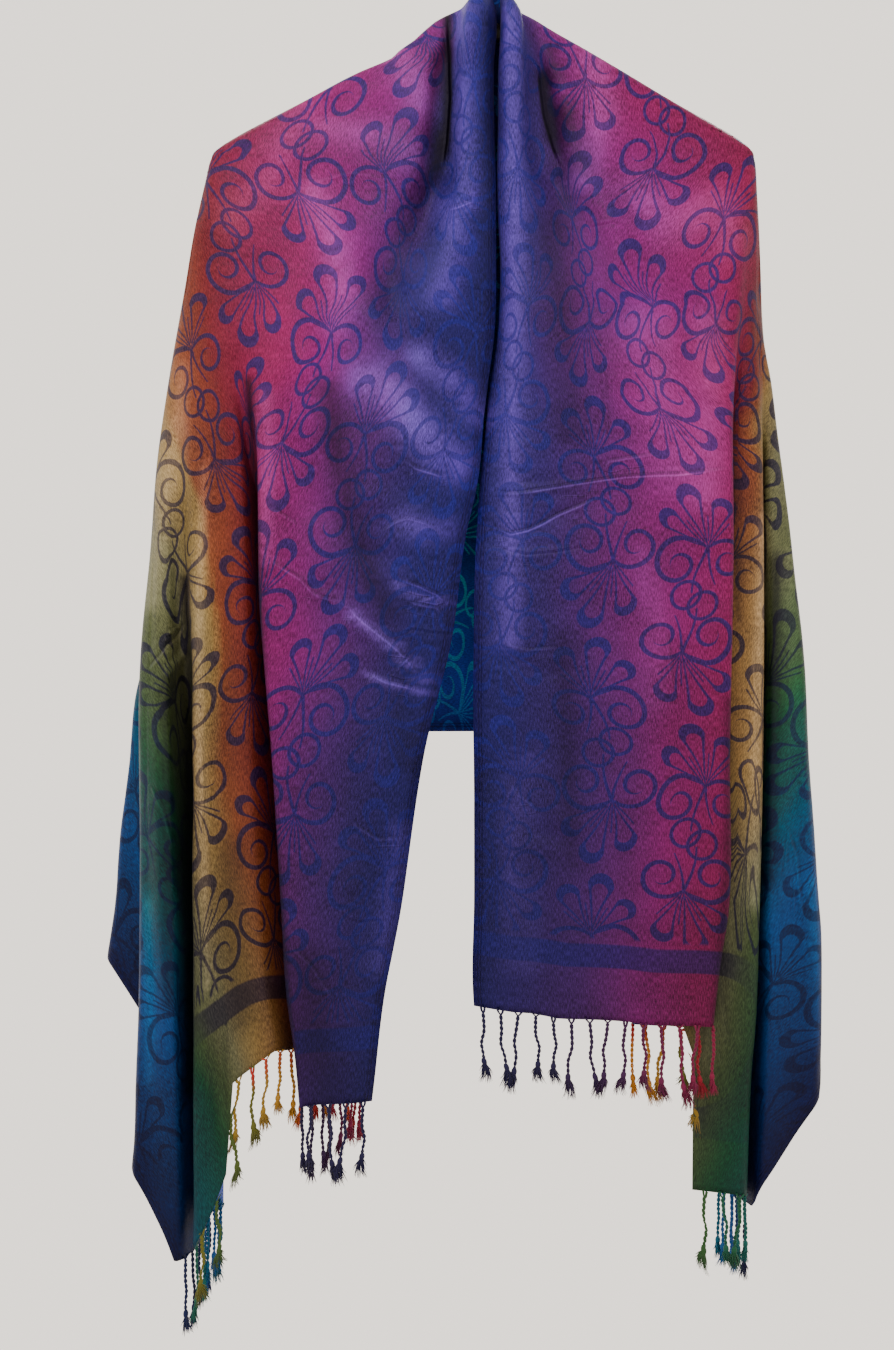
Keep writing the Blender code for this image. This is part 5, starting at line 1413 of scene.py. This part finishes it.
# The cloth's colours from its centre edge (0) to its outer selvage (1)
clothColours = {
    "ground": [
        (0.0, "080c40"), (0.06, "0d0e40"), (0.10, "1e1044"), (0.14, "301046"), (0.18, "480f4a"),
        (0.22, "5c0a4a"), (0.27, "620838"), (0.33, "5c0a28"), (0.38, "500f0e"), (0.43, "603012"),
        (0.48, "6a5428"), (0.53, "505034"), (0.59, "303e1c"), (0.66, "06341a"), (0.74, "02363a"),
        (0.84, "023062"), (1.0, "02082c"),
    ],
    "ink": [
        (0.0, "0a1058"), (0.1, "0c0e4c"), (0.18, "0e0b4a"), (0.3, "0d0a40"), (0.45, "08081e"),
        (0.6, "020a1c"), (0.8, "02163a"), (1.0, "020620"),
    ],
    # the colours of the painted highlights
    "paintedHighlight": [
        (0.0, "523aa0"), (0.1, "6a52b0"), (0.17, "7c48a4"), (0.24, "a84c9c"), (0.32, "a44478"),
        (0.4, "a05844"), (0.48, "b89c74"), (0.56, "88846a"), (0.64, "2c6a40"), (0.74, "10787c"),
        (0.84, "1070a8"), (1.0, "183078"),
    ],
    "underGround": [
        (0.0, "10144c"), (0.3, "0a1854"), (0.5, "062464"), (0.7, "0a3884"), (0.85, "143ea0"),
        (0.94, "1c3cae"), (1.0, "0a1c64"),
    ],
    # the colours of the painted highlights on the reverse
    "underPaintedHighlight": [(0.0, "283078"), (0.5, "1a5a70"), (0.8, "107888"), (1.0, "0c2c60")],
    "underInk": [
        (0.0, "102878"), (0.2, "204080"), (0.34, "104c80"), (0.5, "0c68a0"), (0.66, "0e88b0"),
        (0.82, "14a4c0"), (0.94, "1488c0"), (1.0, "0a3c90"),
    ],
    "hem": [(0.0, "12144c"), (0.3, "401440"), (0.5, "50401c"), (0.75, "083840"), (1.0, "060c34")],
}

# The weave: marks a metre, across and along where they differ, and places in millimetres
weave = {
    "fleck": (1500, 240),
    "slub": (160, 2600),
    "worn": 22.0,
    "broad": 7.0,
    "twill": 420.0,
    "crumple": 26.0,
    "band": (40.0, 58.0),      # the woven band's edges, from the fringed end
    "stitchAt": 5.2,           # the middle of the double line of stitches, from the selvage
    "stitchApart": 2.2,
}


def clothMaterial(name, ground, ink, paintedHighlight):  # the dyed ground with its scrolls and end bands, with painted highlights and painted shade
    material, shader, where = newMaterial(name, "clothUv")
    # press holds the fine creases; the last map holds the shares of painted highlight and painted shade
    spread, press, wash = (
        where.node("ShaderNodeUVMap", {"uv_map": uvName}) for uvName in ("dyeAndEnd", "press", "wash")
    )
    fromEnd = spread.part(1) * 1000
    across = spread.part(0) + (where.noise(5.0, 2.0) - 0.5) * 0.04
    fleck = where.stretched(*weave["fleck"]).noise(1.0, 2.0, 0.7).rise(0.34, 0.66)
    slub = where.stretched(*weave["slub"]).noise(1.0, 2.0).rise(0.3, 0.7)
    worn = where.noise(weave["worn"], 3.0, 0.6).rise(0.3, 0.7)
    broad = where.noise(weave["broad"], 1.0).rise(0.25, 0.75)
    # The pattern stops before the woven band, which fades out towards the outer selvage
    bandStarts, bandEnds = weave["band"]
    band = fromEnd.rise(bandStarts, bandStarts + 1.5) * (1 - fromEnd.rise(bandEnds, bandEnds + 2))
    band = band * (1 - across.rise(0.54, 0.62) * 0.8)
    drawn = scrollInk(where) * fromEnd.rise(bandEnds + 4, bandEnds + 7)
    drawn = drawn.larger(band * 0.9) * (0.86 + fleck * 0.14)
    # Fine creases: a sharp ridge with a trough beside it, in the relief, with a painted highlight on the
    # ridge and painted shade in the trough
    off, power = press.part(0) * 1000, press.part(1)
    ridge = power.larger(-1.5) / (1 + (off * off) * 0.45) ** 2
    trough = power.larger(-1.5) / (1 + (off - 2.4) * (off - 2.4) * 0.5) ** 2
    # A double line of stitches along each selvage
    edge = clothSizes["width"] / 2 - abs(where.part(0) * 1000 - clothSizes["width"] / 2)
    stitch = 1 - abs(abs(edge - weave["stitchAt"]) - weave["stitchApart"] / 2).rise(0.25, 0.6)
    # Beside the collar's folds a narrow dark line of painted shade, sharp on the fold's own side
    beside = off.larger(0) * 0.13 + off.smaller(0) * 1.3
    paintedSlitShade = (0 - power - 1.6).within(0, 1) / (1 + beside * beside) ** 2
    # the painted highlights keep clear of the painted shade
    clear = (1 - paintedSlitShade) * (1 - wash.part(1))
    tone = 0.22 + fleck * 0.72 + worn * 0.3 + broad * 0.25 + slub * 0.2
    # painted shade darkens the dark lines by the collar, the crease troughs and the painted shade strokes;
    # the stitches darken it too
    tone = tone * (1 - paintedSlitShade * 0.92) * (1 - stitch * 0.5)
    tone = tone * (1 - trough.within(0, 1) * 0.4) * (1 - wash.part(1))
    dyed = drawn.blend(across.ramp(clothColours[ground]), across.ramp(clothColours[ink]))
    # painted sheen along the highlight strokes, varied by the weave and weaker on the ink
    paintedSheen = wash.part(0) * (0.18 + fleck * 0.5 + worn * 0.3) * (1 - drawn * 0.65)
    # a painted highlight along the crease ridges, and painted glints on the brightest flecks
    paintedRidgeHighlight = ridge.within(0, 1.4)
    paintedRidgeHighlight = paintedRidgeHighlight * paintedRidgeHighlight * (0.2 + worn * 0.5 + fleck * 0.3)
    paintedShine = (paintedSheen + paintedRidgeHighlight * 0.22 + fleck * fleck * 0.09) * clear
    # the painted highlights lay their own colours over the dyed ground
    colour = paintedShine.within(0, 0.85).blend(dyed.toned(tone), across.ramp(clothColours[paintedHighlight]))
    twill = where.node("ShaderNodeTexWave", {"bands_direction": "DIAGONAL"}, {
        "Vector": where, "Scale": weave["twill"], "Distortion": 1.2, "Detail": 1.0}, 1)
    crumple = where.stretched(1, 1.5).noise(weave["crumple"], 4.0, 0.55)
    height = twill * 0.3 + fleck * 0.35 - stitch * 1.2 + crumple * 9 + (ridge - trough * 0.6) * 3.2
    feed(
        shader, Base_Color=colour, Roughness=0.34 + fleck * 0.14 + worn * 0.1, Sheen_Weight=0.02,
        Sheen_Roughness=0.4, Sheen_Tint=(0.6, 0.5, 1.0, 1), Specular_IOR_Level=0.13,
        Specular_Tint=(0.75, 0.62, 1.0, 1), Normal=bumped(height, 0.5, 0.0004),
    )
    return material


def hemMaterial():  # the cloth's own colours in short, a little paler
    material, shader, where = newMaterial("rolledHem", "clothUv")
    across = where.part(0) * (1000 / clothSizes["width"])
    thread = where.stretched(900, 900).noise(1.0, 1.0)
    feed(
        shader, Base_Color=across.ramp(clothColours["hem"]), Roughness=0.6, Specular_IOR_Level=0.15,
        Normal=bumped(thread, 0.4, 0.0003),
    )
    return material


# The fringe's yarns from the centre edge to the outer selvage, and the red of gold cords' roots
yarnColours = {
    "run": [
        (0.0, "0e0c30"), (0.1, "160e30"), (0.17, "2c0c34"), (0.25, "5c0c30"), (0.34, "84140e"),
        (0.41, "9a4410"), (0.48, "90641c"), (0.56, "4c4a10"), (0.64, "0c3c1c"), (0.73, "044844"),
        (0.82, "043c70"), (0.9, "061440"), (1.0, "04082c"),
    ],
    "redRoot": "8c1616",
}


def cordMaterial():  # each cord has its own yarns, picked near its place in the run of colours
    material, shader, where = newMaterial("fringeYarn", "clothUv")
    across = where.part(0) * (1000 / clothSizes["width"])
    down = where.part(1).maths("MODULO", 10.0)
    mixed = down.node("ShaderNodeTexNoise", {"noise_dimensions": "1D"}, {"W": across * 40, "Scale": 1.0})
    spread = across.rise(0.2, 0.45) * 0.26 + 0.1
    yarn = (across + (mixed - 0.5) * spread).within(0, 1).ramp(yarnColours["run"])
    gold = across.rise(0.36, 0.42) * (1 - across.rise(0.53, 0.58))
    root = gold * mixed.rise(0.42, 0.55) * (1 - down.rise(0.1, 0.36))
    yarn = root.blend(yarn, hexColour(yarnColours["redRoot"]))
    fuzz = where.stretched(9000, 90).noise(1.0, 2.0)
    feed(
        shader, Base_Color=yarn.toned(0.55 + fuzz * 0.8), Roughness=0.7, Sheen_Weight=0.05,
        Specular_IOR_Level=0.15, Normal=bumped(fuzz, 0.5, 0.0004),
    )
    return material


# The hanger: plain wood, with painted shade in the middle where the arms meet under the collars, and a wire
# hook
hangerFinish = {
    "wood": [(0.3, "9c6b3f"), (0.55, "c08a56"), (0.75, "d6a674")],
    "neckShade": "1c120c",
    "neckShadeThins": (16, 26),    # millimetres from the middle
    "grain": (14, 120, 120),   # marks a metre
    "steel": "c9c9c6",
}


def woodMaterial():
    material, shader, where = newMaterial("plainBeech")
    grain = where.stretched(*hangerFinish["grain"]).noise(1.0, 4.0, 0.6)
    # painted shade at the middle, for the dark gap between the collars
    middle = 1 - abs(where.part(0) * 1000).rise(*hangerFinish["neckShadeThins"])
    colour = middle.blend(grain.ramp(hangerFinish["wood"]), hexColour(hangerFinish["neckShade"]))
    feed(shader, Base_Color=colour, Roughness=0.38 + grain * 0.2, Normal=bumped(grain, 0.2, 0.0004))
    return material


def steelMaterial():
    material, shader, where = newMaterial("polishedWire")
    scratch = where.stretched(300, 300, 1400).noise(1.0, 3.0)
    feed(
        shader, Base_Color=hexColour(hangerFinish["steel"]), Metallic=1.0,
        Roughness=0.16 + scratch * 0.18, Normal=bumped(scratch, 0.08, 0.0001),
    )
    return material


# The stage, in metres. Soft lights: name, place, size and power, all facing the aim
studio = {
    "floor": "d8d2cc",
    "floorHalf": 1.7,
    "floorHeight": -1.6,
    "sky": ("e8e0d6", 2.3),
    "lights": [
        ("key", (-0.75, -1.2, 0.75), 0.6, 24.0),
        ("fill", (1.9, -1.6, 0.1), 1.2, 9.0),
        ("rear", (0.9, 2.2, 0.6), 1.2, 24.0),
        ("side", (-2.3, 0.8, -0.2), 1.2, 10.0),
    ],
    "aim": (0.0, 0.0, -0.55),
    "camera": (-0.0281, -2.5, -0.5889),
    "viewTall": 1.0665,        # metres of the scarf's own plane from the frame's top to its bottom
}


def floorMaterial():
    material, shader, _ = newMaterial("paleFloor")
    feed(shader, Base_Color=hexColour(studio["floor"]), Roughness=0.8)
    return material


def makeStage():  # a pale floor well under the fringes
    bm = bmesh.new()
    bmesh.ops.create_grid(bm, x_segments=1, y_segments=1, size=studio["floorHalf"])
    bmesh.ops.translate(bm, verts=bm.verts, vec=(0, 0, studio["floorHeight"]))
    floor = finishedPiece(bm, "floor", [floorMaterial()])


def makeStudio():
    aim = Vector(studio["aim"])
    for name, spot, size, power in studio["lights"]:
        data = bpy.data.lights.new(name, "AREA")
        data.size, data.energy = size, power
        data.shape = "DISK"
        light = bpy.data.objects.new(name, data)
        light.location = spot
        light.rotation_euler = (aim - Vector(spot)).to_track_quat("-Z", "Y").to_euler()
        bpy.context.scene.collection.objects.link(light)
    world = bpy.data.worlds.new("paleSky")
    bpy.context.scene.world = world
    world.use_nodes = True
    sky = world.node_tree.nodes["Background"]
    sky.inputs["Color"].default_value = hexColour(studio["sky"][0])
    sky.inputs["Strength"].default_value = studio["sky"][1]
    data = bpy.data.cameras.new("camera")
    data.sensor_fit = "VERTICAL"
    data.angle = 2 * math.atan(studio["viewTall"] / 2 / abs(studio["camera"][1]))
    camera = bpy.data.objects.new("camera", data)
    camera.location = studio["camera"]
    camera.rotation_euler = (math.pi / 2, 0, 0)
    bpy.context.scene.collection.objects.link(camera)
    bpy.context.scene.camera = camera


makeStudio()
makeStage()
print("studio ready")

left, right = makeHalves()
clothFace = clothMaterial("dyedSilkFace", "ground", "ink", "paintedHighlight")
clothUnder = clothMaterial("dyedSilkReverse", "underGround", "underInk", "underPaintedHighlight")
clothHem = hemMaterial()
yarn = cordMaterial()
print("materials ready")

for half in (left, right):
    sheet, ends = makeCloth(half, (clothFace, clothUnder, clothHem))
    fringe = makeFringe(half, ends, yarn)
    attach(sheet, "root")
    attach(fringe, "root")
    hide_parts(f"cloth_{half.name}_front", f"cloth_{half.name}_side", "cloth_back")
    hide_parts(f"fringe_{half.name}_front", f"fringe_{half.name}_side")

for node, material in (("hanger_arms", woodMaterial()), ("hanger_hook", steelMaterial())):
    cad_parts[node].material_slots[0].material = material
print("hanger ready")
